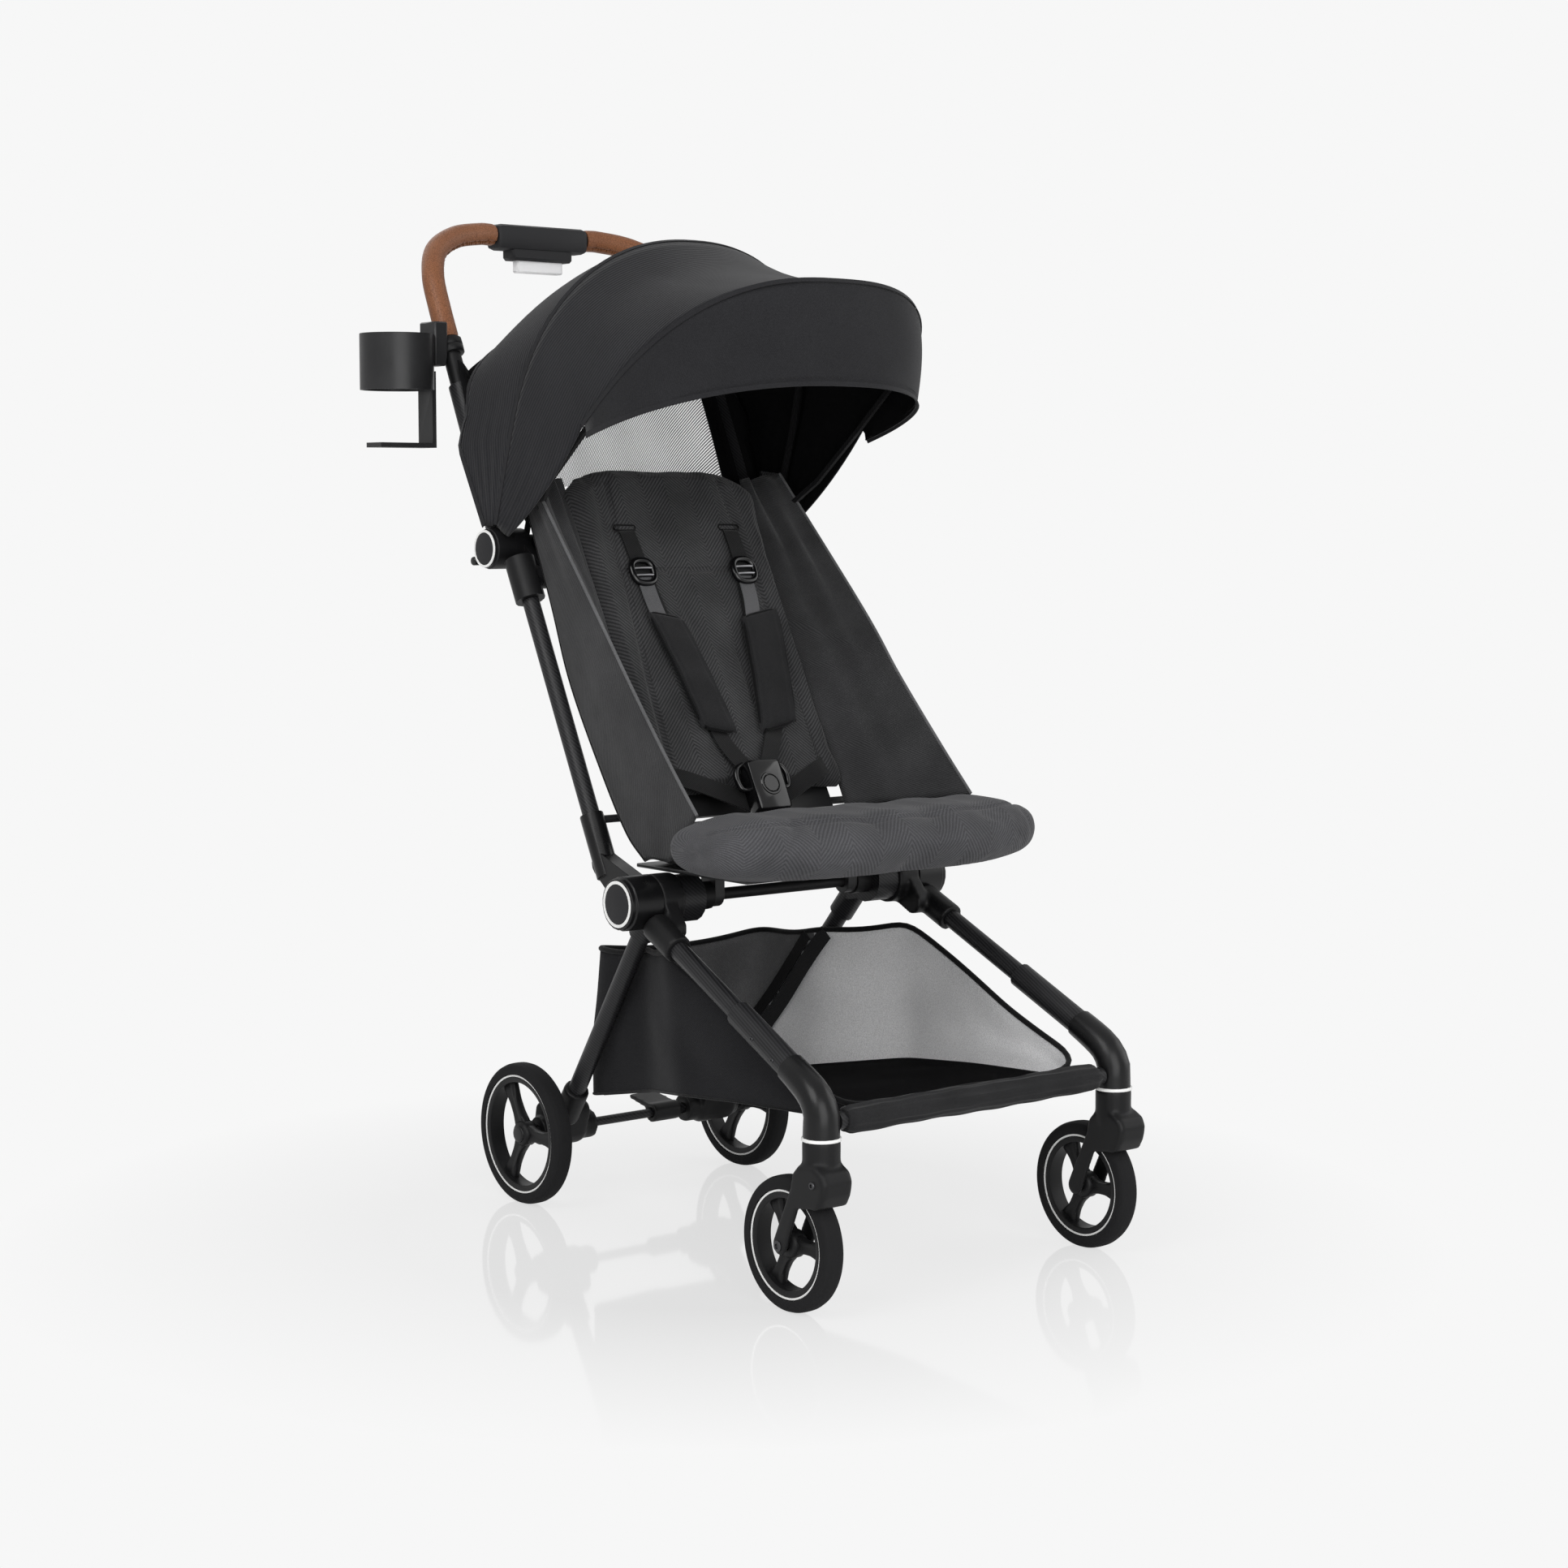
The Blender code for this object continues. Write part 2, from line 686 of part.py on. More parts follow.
def make_chassis():
    bore = SHAFT_R + RUN
    for name, side in SIDES.items():
        top = mirrored(LEG_TOP, side)
        low = mirrored(LEG_LOW, side)
        way = (low - top).normalized()
        hidden_end = top - way * LEG_SOCKET_LENGTH
        neck = hidden_end + way * 0.008
        lobe = hull([(LOWER_HUB, 0.022), ((neck.y, neck.z), 0.0125)])
        piece(
            f"front_leg_socket_{name}",
            across(*FRONT_RING, LOWER_HUB, HUB_R, side=side),
            "chassis",
            PLASTIC,
            steps=[
                ("UNION", plate(lobe, side * 0.1500, side * 0.1652)),
                ("UNION", bar(hidden_end, top, LEG_SOCKET_R)),
                ("DIFFERENCE", across(0.13, 0.17, LOWER_HUB, bore, BORE_SIDES, side)),
            ],
        )
        full = (low - top).length - KNEE_CUFF
        thin = full * (LEG_TUBE_SHARE_Y - top.y) / (top.y + way.y * full - top.y)
        piece(
            f"front_leg_{name}",
            turned(
                top,
                way,
                [
                    (GAP, 0),
                    (GAP, LEG_TUBE_R),
                    (thin, LEG_TUBE_R),
                    (thin, LEG_SLEEVE_R),
                    (full - GAP, LEG_SLEEVE_R),
                    (full - GAP, 0),
                ],
                16,
            ),
            "chassis",
            TUBE,
        )
        knee = smooth_path(
            [
                low - way * KNEE_CUFF,
                low - way * 0.030 + Vector((0, 0, -0.0005)),
                low - way * 0.0105 + Vector((0, 0, -0.0035)),
                Vector((low.x, low.y, low.z - 0.0145)),
                Vector((low.x, low.y, COLLAR_Z + GAP)),
            ],
            2,
        )
        steps = len(knee) - 1
        radii = [KNEE_R[0] + (KNEE_R[2] - KNEE_R[0]) * step / steps for step in range(steps + 1)]
        knee[-2] = Vector((low.x, low.y, knee[-2].z))
        piece(f"front_knee_{name}", swept(knee, radii, 14), "chassis", PLASTIC)
    plug = LEG_LOW[0] - KNEE_R[2] - 0.0004
    edge = 0.003
    piece(
        "front_bar",
        turned(
            (-plug, LEG_LOW[1], FRONT_BAR_Z),
            (1, 0, 0),
            [
                (0, 0),
                (0, 0.008),
                (plug - FRONT_BAR_HALF, 0.008),
                (plug - FRONT_BAR_HALF, FRONT_BAR_R - edge),
                (plug - FRONT_BAR_HALF + edge, FRONT_BAR_R),
                (plug + FRONT_BAR_HALF - edge, FRONT_BAR_R),
                (plug + FRONT_BAR_HALF, FRONT_BAR_R - edge),
                (plug + FRONT_BAR_HALF, 0.008),
                (2 * plug, 0.008),
                (2 * plug, 0),
            ],
            14,
        ),
        "chassis",
        BASKET_CLOTH,
    )
    lumps = [(-SHAFT_END, 0), (-SHAFT_END, SHAFT_R)]
    for side in (-1, 1):
        inner, outer = sorted((side * LOCK_LUMP[0], side * LOCK_LUMP[1]))
        lumps += [(inner, SHAFT_R), (inner, LOCK_LUMP_R), (outer, LOCK_LUMP_R), (outer, SHAFT_R)]
    lumps += [(SHAFT_END, SHAFT_R), (SHAFT_END, 0)]
    piece("hub_crossbar", turned((0, *LOWER_HUB), (1, 0, 0), lumps, BORE_SIDES), "chassis", PLASTIC)
    make_basket()


def make_basket():
    rows = []
    floor = basket_loop(BASKET_FLOOR)
    rim = basket_loop(BASKET_RIM)
    count = len(floor)
    spine = [Vector((0, spot.y, spot.z)) for spot in floor]
    rows.append([spot.lerp(middle, 0.5) for spot, middle in zip(floor, spine)])
    rows.append(floor)
    for share in (0.06, 0.35, 0.68, 1.0):
        rows.append([low.lerp(high, share) for low, high in zip(floor, rim)])
    bm = bmesh.new()
    grid = [[bm.verts.new(spot) for spot in row] for row in rows]
    for row, other in zip(grid, grid[1:]):
        for step in range(count):
            after = (step + 1) % count
            bm.faces.new((row[step], row[after], other[after], other[step]))
    half = len(BASKET_FLOOR) - 1
    inner = grid[0]
    for step in range(half):
        right = inner[step], inner[step + 1]
        left = inner[-step] if step else inner[0], inner[-step - 1]
        corners = []
        for vert in (right[0], right[1], left[1], left[0]):
            if vert not in corners:
                corners.append(vert)
        if len(corners) > 2:
            bm.faces.new(corners)
    cloth_piece("basket", bm, "chassis", BASKET_CLOTH, BASKET_WALL)


def basket_loop(half):
    """Closed loop from the front middle round the +X side and back."""
    right = [Vector(spot) for spot in half]
    left = [Vector((-spot[0], spot[1], spot[2])) for spot in half[1:-1]]
    return right + left[::-1]


def wheel_rim(name, wheel, side, body, bore_to):
    """Three-spoke rim; its axle bore ends bore_to outside its middle."""
    centre = Vector((side * wheel["x"], wheel["y"], wheel["tyre"]))
    half = RIM_WIDTH / 2
    web = WEB_WIDTH / 2
    outer = wheel["seat"]
    inner = outer - RIM_WALL
    profile = [
        (-web, 0),
        (-web, inner),
        (-half, inner),
        (-half, outer),
        (half, outer),
        (half, inner),
        (web, inner),
        (web, 0),
    ]
    steps = []
    for number in range(3):
        outline = opening(wheel, inner, 120 * number)
        steps.append(("DIFFERENCE", plate(outline, centre.x - half * 2, centre.x + half * 2)))
    inner_end = centre - Vector((side * RIM_WIDTH, 0, 0))
    outer_end = centre + Vector((side * bore_to, 0, 0))
    steps.append(("DIFFERENCE", bar(inner_end, outer_end, AXLE_R + RUN, BORE_SIDES)))
    rim = turned(centre, (1, 0, 0), profile, WHEEL_SIDES, math.pi / WHEEL_SIDES)
    piece(name, rim, body, PLASTIC, steps)


def opening(wheel, reach, middle):
    """Rounded window between two spokes, as a (y, z) outline."""
    centre = (wheel["y"], wheel["tyre"])
    far = reach - 0.0015
    spoke = math.degrees(math.asin(SPOKE_WIDTH * 0.5 / far))
    outline = arc(centre, far, middle - 57 + spoke, middle + 57 - spoke, 5)
    near = WHEEL_HUB_R + 0.006
    outline += arc(centre, near, middle + 24, middle - 24, 2)
    return outline


def wheel_tyre(name, wheel, side, body):
    """Foam tyre with a flat facet of its tread on the ground."""
    flat = 0.005
    half = TYRE_WIDTH / 2
    grow = 1 / math.cos(math.pi / WHEEL_SIDES)
    seat = wheel["seat"] + GAP
    crown = wheel["tyre"] * grow
    depth = crown - seat
    profile = [
        (-half, seat),
        (-half, seat + depth * 0.55),
        (-flat - 0.0028, crown - 0.0015),
        (-flat, crown),
        (flat, crown),
        (flat + 0.0028, crown - 0.0015),
        (half, seat + depth * 0.55),
        (half, seat),
    ]
    centre = (side * wheel["x"], wheel["y"], wheel["tyre"])
    tread = turned(centre, (1, 0, 0), profile, WHEEL_SIDES, math.pi / WHEEL_SIDES)
    piece(name, tread, body, RUBBER)


def make_casters():
    axle = (FRONT_WHEEL["y"], FRONT_WHEEL["tyre"])
    reach = TYRE_WIDTH / 2 + FORK_SIDE_GAP
    for name, side in SIDES.items():
        body = f"front_caster_{name}"
        swivel = Vector((side * LEG_LOW[0], LEG_LOW[1], 0))
        middle = side * FRONT_WHEEL["x"]
        cheek = [
            (swivel.y + 0.0110, 0.1440),
            (swivel.y - 0.0120, 0.1460),
            (swivel.y - 0.0235, 0.1400),
            (swivel.y - 0.0275, 0.1310),
            (swivel.y - 0.0250, 0.1180),
            (swivel.y - 0.0190, 0.1070),
            (swivel.y + 0.0120, 0.1030),
        ]
        cheek += arc(axle, 0.0098, 190, 370, 6)
        cheek += [(swivel.y + 0.0215, 0.122), (swivel.y + 0.0185, 0.136)]
        outer = reach + FORK_WALL
        clearance = turned(
            (middle - reach, *axle),
            (1, 0, 0),
            [
                (0, 0),
                (0, FRONT_WHEEL["tyre"] + FORK_WHEEL_GAP),
                (2 * reach, FRONT_WHEEL["tyre"] + FORK_WHEEL_GAP),
                (2 * reach, 0),
            ],
            18,
        )
        head = turned(
            swivel + Vector((0, 0, 0.128)),
            (0, 0, 1),
            [
                (0, 0),
                (0, 0.0160),
                (0.008, 0.0176),
                (COLLAR_Z - 0.128 - 0.0006, COLLAR_R),
                (COLLAR_Z - 0.128, COLLAR_R - 0.0006),
                (COLLAR_Z - 0.128, 0),
            ],
            16,
        )
        pin = across(
            FRONT_WHEEL["x"] - outer + 0.001, FRONT_WHEEL["x"] + outer - 0.001, axle, AXLE_R, BORE_SIDES, side
        )
        piece(
            f"caster_fork_{name}",
            plate(cheek, middle - outer, middle + outer, 0.0025, 0.93),
            body,
            PLASTIC,
            steps=[("UNION", head), ("DIFFERENCE", clearance), ("UNION", pin)],
        )
        wheel = f"front_wheel_{name}"
        wheel_rim(f"front_rim_{name}", FRONT_WHEEL, side, wheel, RIM_WIDTH)
        wheel_tyre(f"front_tyre_{name}", FRONT_WHEEL, side, wheel)


def make_rear_legs():
    bore = SHAFT_R + RUN
    axle = (REAR_WHEEL["y"], REAR_WHEEL["tyre"])
    for name, side in SIDES.items():
        top = mirrored(REAR_LEG_TOP, side)
        low = mirrored(REAR_LEG_LOW, side)
        way = (low - top).normalized()
        end = top + way * ((top.z - BRACKET_SOCKET_TOP) / -way.z)
        reach = (end - top).length
        leg = turned(
            top,
            way,
            [
                (0, 0),
                (0, REAR_SOCKET_R),
                (REAR_SOCKET_LENGTH, REAR_SOCKET_R),
                (REAR_SOCKET_LENGTH, REAR_TUBE_R),
                (reach, REAR_TUBE_R),
                (reach, 0),
            ],
            16,
        )
        neck = top + way * 0.010
        lobe = hull([(LOWER_HUB, 0.019), ((neck.y, neck.z), 0.0115)])
        piece(
            f"rear_leg_{name}",
            leg,
            "rear_legs",
            TUBE,
            steps=[
                ("UNION", plate(lobe, side * 0.1205, side * 0.1383)),
                ("UNION", across(*REAR_RING, LOWER_HUB, REAR_RING_R, side=side)),
                ("DIFFERENCE", across(0.10, 0.15, LOWER_HUB, bore, BORE_SIDES, side)),
            ],
        )
        x_from, x_to = sorted((side * BRACKET_X[0], side * BRACKET_X[1]))
        inside = end + way * 0.044
        rear_top = (BRACKET_Y[1] - 0.012, BRACKET_Z[1] - 0.008)
        front_top = (BRACKET_Y[0] + 0.004, BRACKET_Z[1] - 0.010)
        casting = hull([(axle, 0.0185), (rear_top, 0.008), (front_top, 0.012)])
        piece(
            f"rear_bracket_{name}",
            plate(casting, x_from, x_to, 0.003, 0.90),
            "rear_legs",
            PLASTIC,
            steps=[
                ("UNION", bar(end + way * GAP, inside, BRACKET_SOCKET_R)),
                ("UNION", across(*BRACKET_BOSS_X, axle, BRACKET_BOSS_R, side=side)),
                ("DIFFERENCE", across(0.05, 0.14, axle, AXLE_R + RUN, BORE_SIDES, side)),
            ],
        )
        wheel = f"rear_wheel_{name}"
        wheel_rim(f"rear_rim_{name}", REAR_WHEEL, side, wheel, RIM_WIDTH * 0.22)
        wheel_tyre(f"rear_tyre_{name}", REAR_WHEEL, side, wheel)
    reach = REAR_WHEEL["x"] + RIM_WIDTH * 0.2
    piece("rear_axle", across(-reach, reach, axle, AXLE_R, BORE_SIDES), "rear_legs", TUBE)
    tread = [
        (axle[0] + 0.006, axle[1] + 0.003),
        (axle[0] + 0.040, axle[1] + 0.010),
        (axle[0] + 0.0405, axle[1] + 0.015),
        (axle[0] + 0.004, axle[1] + 0.0095),
    ]
    piece(
        "brake_pedal",
        across(*PEDAL_X, axle, 0.0105),
        "brake",
        PLASTIC,
        steps=[
            ("UNION", plate(tread, PEDAL_X[0] + 0.0005, PEDAL_X[1] - 0.0005)),
            ("DIFFERENCE", across(0.0, 0.07, axle, AXLE_R + RUN, BORE_SIDES)),
        ],
    )


def make_push_frame():
    sleeve_top = along_push(PUSH_SLEEVE)
    neck = along_push(0.014)
    bore = SHAFT_R + RUN
    for name, side in SIDES.items():
        x = side * PUSH_X
        disc = turned(
            (side * PUSH_RING[0], *LOWER_HUB),
            (side, 0, 0),
            [
                (0, 0),
                (0, HUB_R),
                (PUSH_RING[1] - PUSH_RING[0], HUB_R),
                (PUSH_RING[1] - PUSH_RING[0] + 0.0012, CAP_R),
                (CAP_END - PUSH_RING[0] - 0.001, CAP_R),
                (CAP_END - PUSH_RING[0], CAP_R - 0.001),
                (CAP_END - PUSH_RING[0], 0),
            ],
            22,
        )
        lobe = hull([(LOWER_HUB, 0.0225), (neck, 0.0115)])
        piece(
            f"push_hub_{name}",
            disc,
            "push_frame",
            PLASTIC,
            steps=[
                ("UNION", plate(lobe, side * 0.1680, side * 0.1838)),
                ("UNION", bar((x, *PUSH_START), (x, *sleeve_top), PUSH_SLEEVE_R)),
                ("DIFFERENCE", across(0.15, SHAFT_END + RUN, LOWER_HUB, bore, BORE_SIDES, side)),
            ],
        )
        piece(
            f"push_tube_{name}",
            bar((x, *along_push(PUSH_SLEEVE + GAP)), (x, *along_push(PUSH_SOCKET[0] - GAP)), PUSH_TUBE_R),
            "push_frame",
            TUBE,
        )
        seat = along_push(PUSH_SOCKET[1] - 0.020)
        arm = hull([(UPPER_HUB, 0.016), (seat, 0.0125)])
        piece(
            f"push_socket_{name}",
            across(*BRACKET_RING, UPPER_HUB, UPPER_R, side=side),
            "push_frame",
            PLASTIC,
            steps=[
                ("UNION", plate(arm, side * (BRACKET_RING[0] + 0.0005), side * FORK_PLATE_OUT)),
                ("UNION", across(0.1515, 0.1735, seat, 0.0120, side=side)),
                (
                    "UNION",
                    bar((x, *along_push(PUSH_SOCKET[0])), (x, *along_push(PUSH_SOCKET[1])), PUSH_SOCKET_R),
                ),
                ("DIFFERENCE", across(0.14, 0.18, UPPER_HUB, PIN_R + RUN, BORE_SIDES, side)),
            ],
        )
        side_wing(name, side)


def side_wing(name, side):
    """Folded cloth wing: an outer panel back to the frame and an inner one to the back pad."""
    steps = 7
    rows = []
    for step in range(steps + 1):
        share = step / steps
        ridge = Vector((0.171, 0.155, 0.712)).lerp(Vector((0.176, -0.070, 0.453)), share)
        frame = smooth_path([(0.160, 0.206, 0.720), (0.160, 0.130, 0.530), (0.160, 0.014, 0.401)], steps)
        outer = frame[round(share * (len(frame) - 1))]
        t = 0.285 - 0.270 * share
        inner = back_point(back_half(t) * back_tuck(t) + CLOTH / 2 + 2 * GAP, t, BACK_PAD_THICK / 2)
        bow = math.sin(math.pi * share)
        row = []
        for part in range(4):
            spot = Vector(outer).lerp(ridge, part / 4)
            row.append(spot + Vector((0.004 * bow * math.sin(math.pi * part / 4), 0, 0)))
        for part in range(5):
            spot = ridge.lerp(inner, part / 4)
            row.append(spot + Vector((0.005 * bow * math.sin(math.pi * part / 4), 0, 0)))
        rows.append([mirrored(spot, side) for spot in row])
    cloth_piece(f"side_wing_{name}", sheet(rows), "push_frame", SEAT_CLOTH, CLOTH, even=False)


def make_seat():
    bore = SHAFT_R + RUN
    foot = BOARD_Z[0] + 0.001
    lug = arc(LOWER_HUB, SEAT_LUG_R, 180, 360, 10)
    lug += [(LOWER_HUB[0] + SEAT_LUG_R, foot), (LOWER_HUB[0] - SEAT_LUG_R, foot)]
    steps = []
    for side in (-1, 1):
        steps.append(("UNION", plate(lug, side * SEAT_LUG[0], side * SEAT_LUG[1])))
        steps.append(("DIFFERENCE", across(0.07, 0.10, LOWER_HUB, bore, BORE_SIDES, side)))
    piece(
        "seat_board",
        block(
            (-BOARD_HALF, BOARD_Y[0], BOARD_Z[0]), (BOARD_HALF, BOARD_Y[1], BOARD_Z[1]), 0.0009, 1
        ),
        "seat",
        INNER_BOARD,
        steps,
    )
    pad_foot = BOARD_Z[1] + GAP
    front, rear = PAD_Y

    def pad_mid(u, v):
        share = (v + 1) / 2
        tuck = 1 - 0.03 * (1 - v * v)
        top = PAD_TOP[0] + (PAD_TOP[1] - PAD_TOP[0]) * share
        y = front + (rear - front) * share
        return Vector((u * (BOARD_HALF - 0.001) * tuck, y, (pad_foot + top) / 2)), Vector((0, 0, 1))

    def pad_half(v):
        top = PAD_TOP[0] + (PAD_TOP[1] - PAD_TOP[0]) * (v + 1) / 2
        return (top - pad_foot) / 2

    piece(
        "seat_pad",
        cushion(
            pad_mid,
            lambda u, v: pad_half(v) - groove(v, 0.1, 0.10, 0.003) - groove(abs(u), 0.55, 0.05, 0.002),
            lambda u, v: pad_half(v),
            12,
            8,
        ),
        "seat",
        SEAT_CLOTH,
    )

    def lip_mid(u, v):
        share = (v + 1) / 2
        nose = LIP_Y[0] + (LIP_SIDE_Y - LIP_Y[0]) * abs(u) ** 2.2
        y = nose + (LIP_Y[1] - nose) * share
        top = LIP_TOP[0] + (LIP_TOP[1] - LIP_TOP[0]) * share
        tuck = 1 - 0.012 * (1 - v * v)
        return Vector((u * LIP_HALF * tuck, y, (pad_foot + top) / 2)), Vector((0, 0, 1))

    def lip_half(v):
        top = LIP_TOP[0] + (LIP_TOP[1] - LIP_TOP[0]) * (v + 1) / 2
        return (top - pad_foot) / 2

    piece(
        "seat_lip",
        cushion(
            lip_mid,
            lambda u, v: lip_half(v) - groove(v, 0.45, 0.12, 0.0025),
            lambda u, v: lip_half(v),
            14,
            8,
        ),
        "seat",
        LIP_CLOTH,
    )
    buckle_foot = back_point(0, BUCKLE_T[0], sum(BUCKLE_N) / 2)
    share = (buckle_foot.y - front) / (rear - front)
    strap_foot = PAD_TOP[0] + (PAD_TOP[1] - PAD_TOP[0]) * share + GAP
    piece(
        "crotch_strap",
        block(
            (-WEBBING_WIDTH / 2, buckle_foot.y - WEBBING, strap_foot),
            (WEBBING_WIDTH / 2, buckle_foot.y + WEBBING, buckle_foot.z - 0.0012),
        ),
        "seat",
        WEB,
    )


def make_backrest():
    rod = along_push(RECLINE_AXIS)
    behind = BACK_PAD_THICK + GAP
    bm = bmesh.new()
    layers = []
    for n in (behind, behind + BACK_BOARD_THICK):
        layer = []
        for x, t in ((-0.116, -0.018), (0.116, -0.018), (0.112, 0.10), (0.098, 0.334), (0.085, 0.344)):
            layer.append(bm.verts.new(back_point(x, t, n)))
        for x, t in ((-0.085, 0.344), (-0.098, 0.334), (-0.112, 0.10)):
            layer.append(bm.verts.new(back_point(x, t, n)))
        layers.append(layer)
        bm.faces.new(layer)
    bridge(bm, *layers)
    tab_root = back_point(0, 0.004, behind + BACK_BOARD_THICK * 0.5)
    tab = hull([(rod, 0.008), ((tab_root.y, tab_root.z), 0.0022)])
    half = PUSH_X - PUSH_SLEEVE_R - GAP
    steps = []
    for side in (-1, 1):
        steps.append(("UNION", plate(tab, side * RECLINE_TAB[0], side * RECLINE_TAB[1])))
    steps.append(("UNION", across(-half, half, rod, RECLINE_ROD_R, 16)))
    piece("back_board", bm, "backrest", INNER_BOARD, steps)

    def pad_mid(u, v):
        t = BACK_LENGTH * (v + 1) / 2
        x = u * back_half(t) * back_tuck(t)
        return back_point(x, t, BACK_PAD_THICK / 2), side_dir(BACK_ANGLE + 90)

    half_thick = BACK_PAD_THICK / 2
    seam = 2 * BACK_SEAM / BACK_LENGTH - 1
    piece(
        "back_pad",
        cushion(
            pad_mid,
            lambda u, v: half_thick - groove(v, seam, 0.035, 0.003) - groove(abs(u), 0.62, 0.05, 0.0025),
            lambda u, v: half_thick,
            10,
            12,
        ),
        "backrest",
        SEAT_CLOTH,
    )
    make_harness()


def ribbon(centres, widths, normals, thickness):
    """Flat strap along a path: widths are half-width vectors, normals its thin way."""
    bm = bmesh.new()
    rings = []
    for centre, width, normal in zip(centres, widths, normals):
        thin = normal * thickness / 2
        ring = [centre - width - thin, centre + width - thin, centre + width + thin, centre - width + thin]
        rings.append([bm.verts.new(spot) for spot in ring])
    for ring, other in zip(rings, rings[1:]):
        bridge(bm, ring, other)
    bm.faces.new(rings[0])
    bm.faces.new(rings[-1])
    return bm


def make_harness():
    clear = -WEBBING / 2 - 0.0006
    out = side_dir(BACK_ANGLE + 90)
    half = WEBBING_WIDTH / 2
    buckle_t = BUCKLE_T[1] - 0.011
    run = [
        back_point(SHOULDER_X[0], 0.2921, clear),
        back_point(SHOULDER_X[0] - 0.002, 0.24, clear),
        back_point(SHOULDER_X[1] + 0.008, 0.16, clear),
        back_point(SHOULDER_X[1] - 0.004, 0.09, clear),
        back_point(0.030, 0.050, clear),
        back_point(0.012, buckle_t, clear),
    ]
    run += [Vector((-spot.x, spot.y, spot.z)) for spot in run[::-1]]
    widths = []
    for step, spot in enumerate(run):
        before = run[max(step - 1, 0)]
        after = run[min(step + 1, len(run) - 1)]
        widths.append((after - before).normalized().cross(out).normalized() * half)
    piece(
        "shoulder_straps", ribbon(run, widths, [out] * len(run), WEBBING), "backrest", WEB
    )
    lap_n = clear - WEBBING - GAP
    lap_t = BUCKLE_T[0] + 0.012
    lap = []
    half_lap = ((0.050, 0.019, lap_n), (0.104, 0.042, 0.0036))
    for x, rise, n in half_lap[::-1]:
        lap.append(back_point(-x, lap_t + rise, n))
    lap.append(back_point(0, lap_t, lap_n))
    for x, rise, n in half_lap:
        lap.append(back_point(x, lap_t + rise, n))
    lap_width = [side_dir(BACK_ANGLE) * half] * len(lap)
    piece("waist_straps", ribbon(lap, lap_width, [out] * len(lap), WEBBING), "backrest", WEB)
    low, high = SHOULDER_PAD_T
    pad_n = clear - WEBBING / 2 - GAP - SHOULDER_PAD_THICK / 2
    for name, side in SIDES.items():

        def mid(u, v, side=side):
            t = low + (high - low) * (v + 1) / 2
            x = SHOULDER_X[1] - 0.010 + 0.016 * (v + 1) / 2 + u * SHOULDER_PAD_HALF
            return back_point(side * x, t, pad_n), out

        thick = SHOULDER_PAD_THICK / 2
        piece(
            f"shoulder_pad_{name}",
            cushion(mid, lambda u, v: thick, lambda u, v: thick, 6, 7),
            "backrest",
            SEAT_CLOTH,
        )
    middle = sum(BUCKLE_T) / 2
    face = BUCKLE_N[0]
    pocket = bar((0, face - 0.005, middle), (0, face + 0.007, middle), BUCKLE_BUTTON_R + GAP, BUCKLE_SIDES)
    shell = block((-BUCKLE_HALF, face, BUCKLE_T[0]), (BUCKLE_HALF, BUCKLE_N[1], BUCKLE_T[1]), 0.005)
    button = bar((0, face - 0.001, middle), (0, face + 0.0035, middle), BUCKLE_BUTTON_R, BUCKLE_SIDES)
    piece("buckle", on_back(shell), "backrest", GLOSS, steps=[("DIFFERENCE", on_back(pocket))])
    piece("buckle_button", on_back(button), "buckle_release", GLOSS)


def on_back(bm):
    """Take a shape drawn as (x, n, t) into the backrest's plane."""
    for vert in bm.verts:
        vert.co = back_point(vert.co.x, vert.co.z, vert.co.y)
    return bm


def handle_path():
    """The handle's centre line from one inner end over the top to the other."""
    straight = [along_handle(GRIP_START), along_handle(GRIP_BEND)]
    bend = [Vector(spot) for spot in HANDLE_BEND]
    return smooth_path(straight + bend[:-1], 2) + bend[-1:]


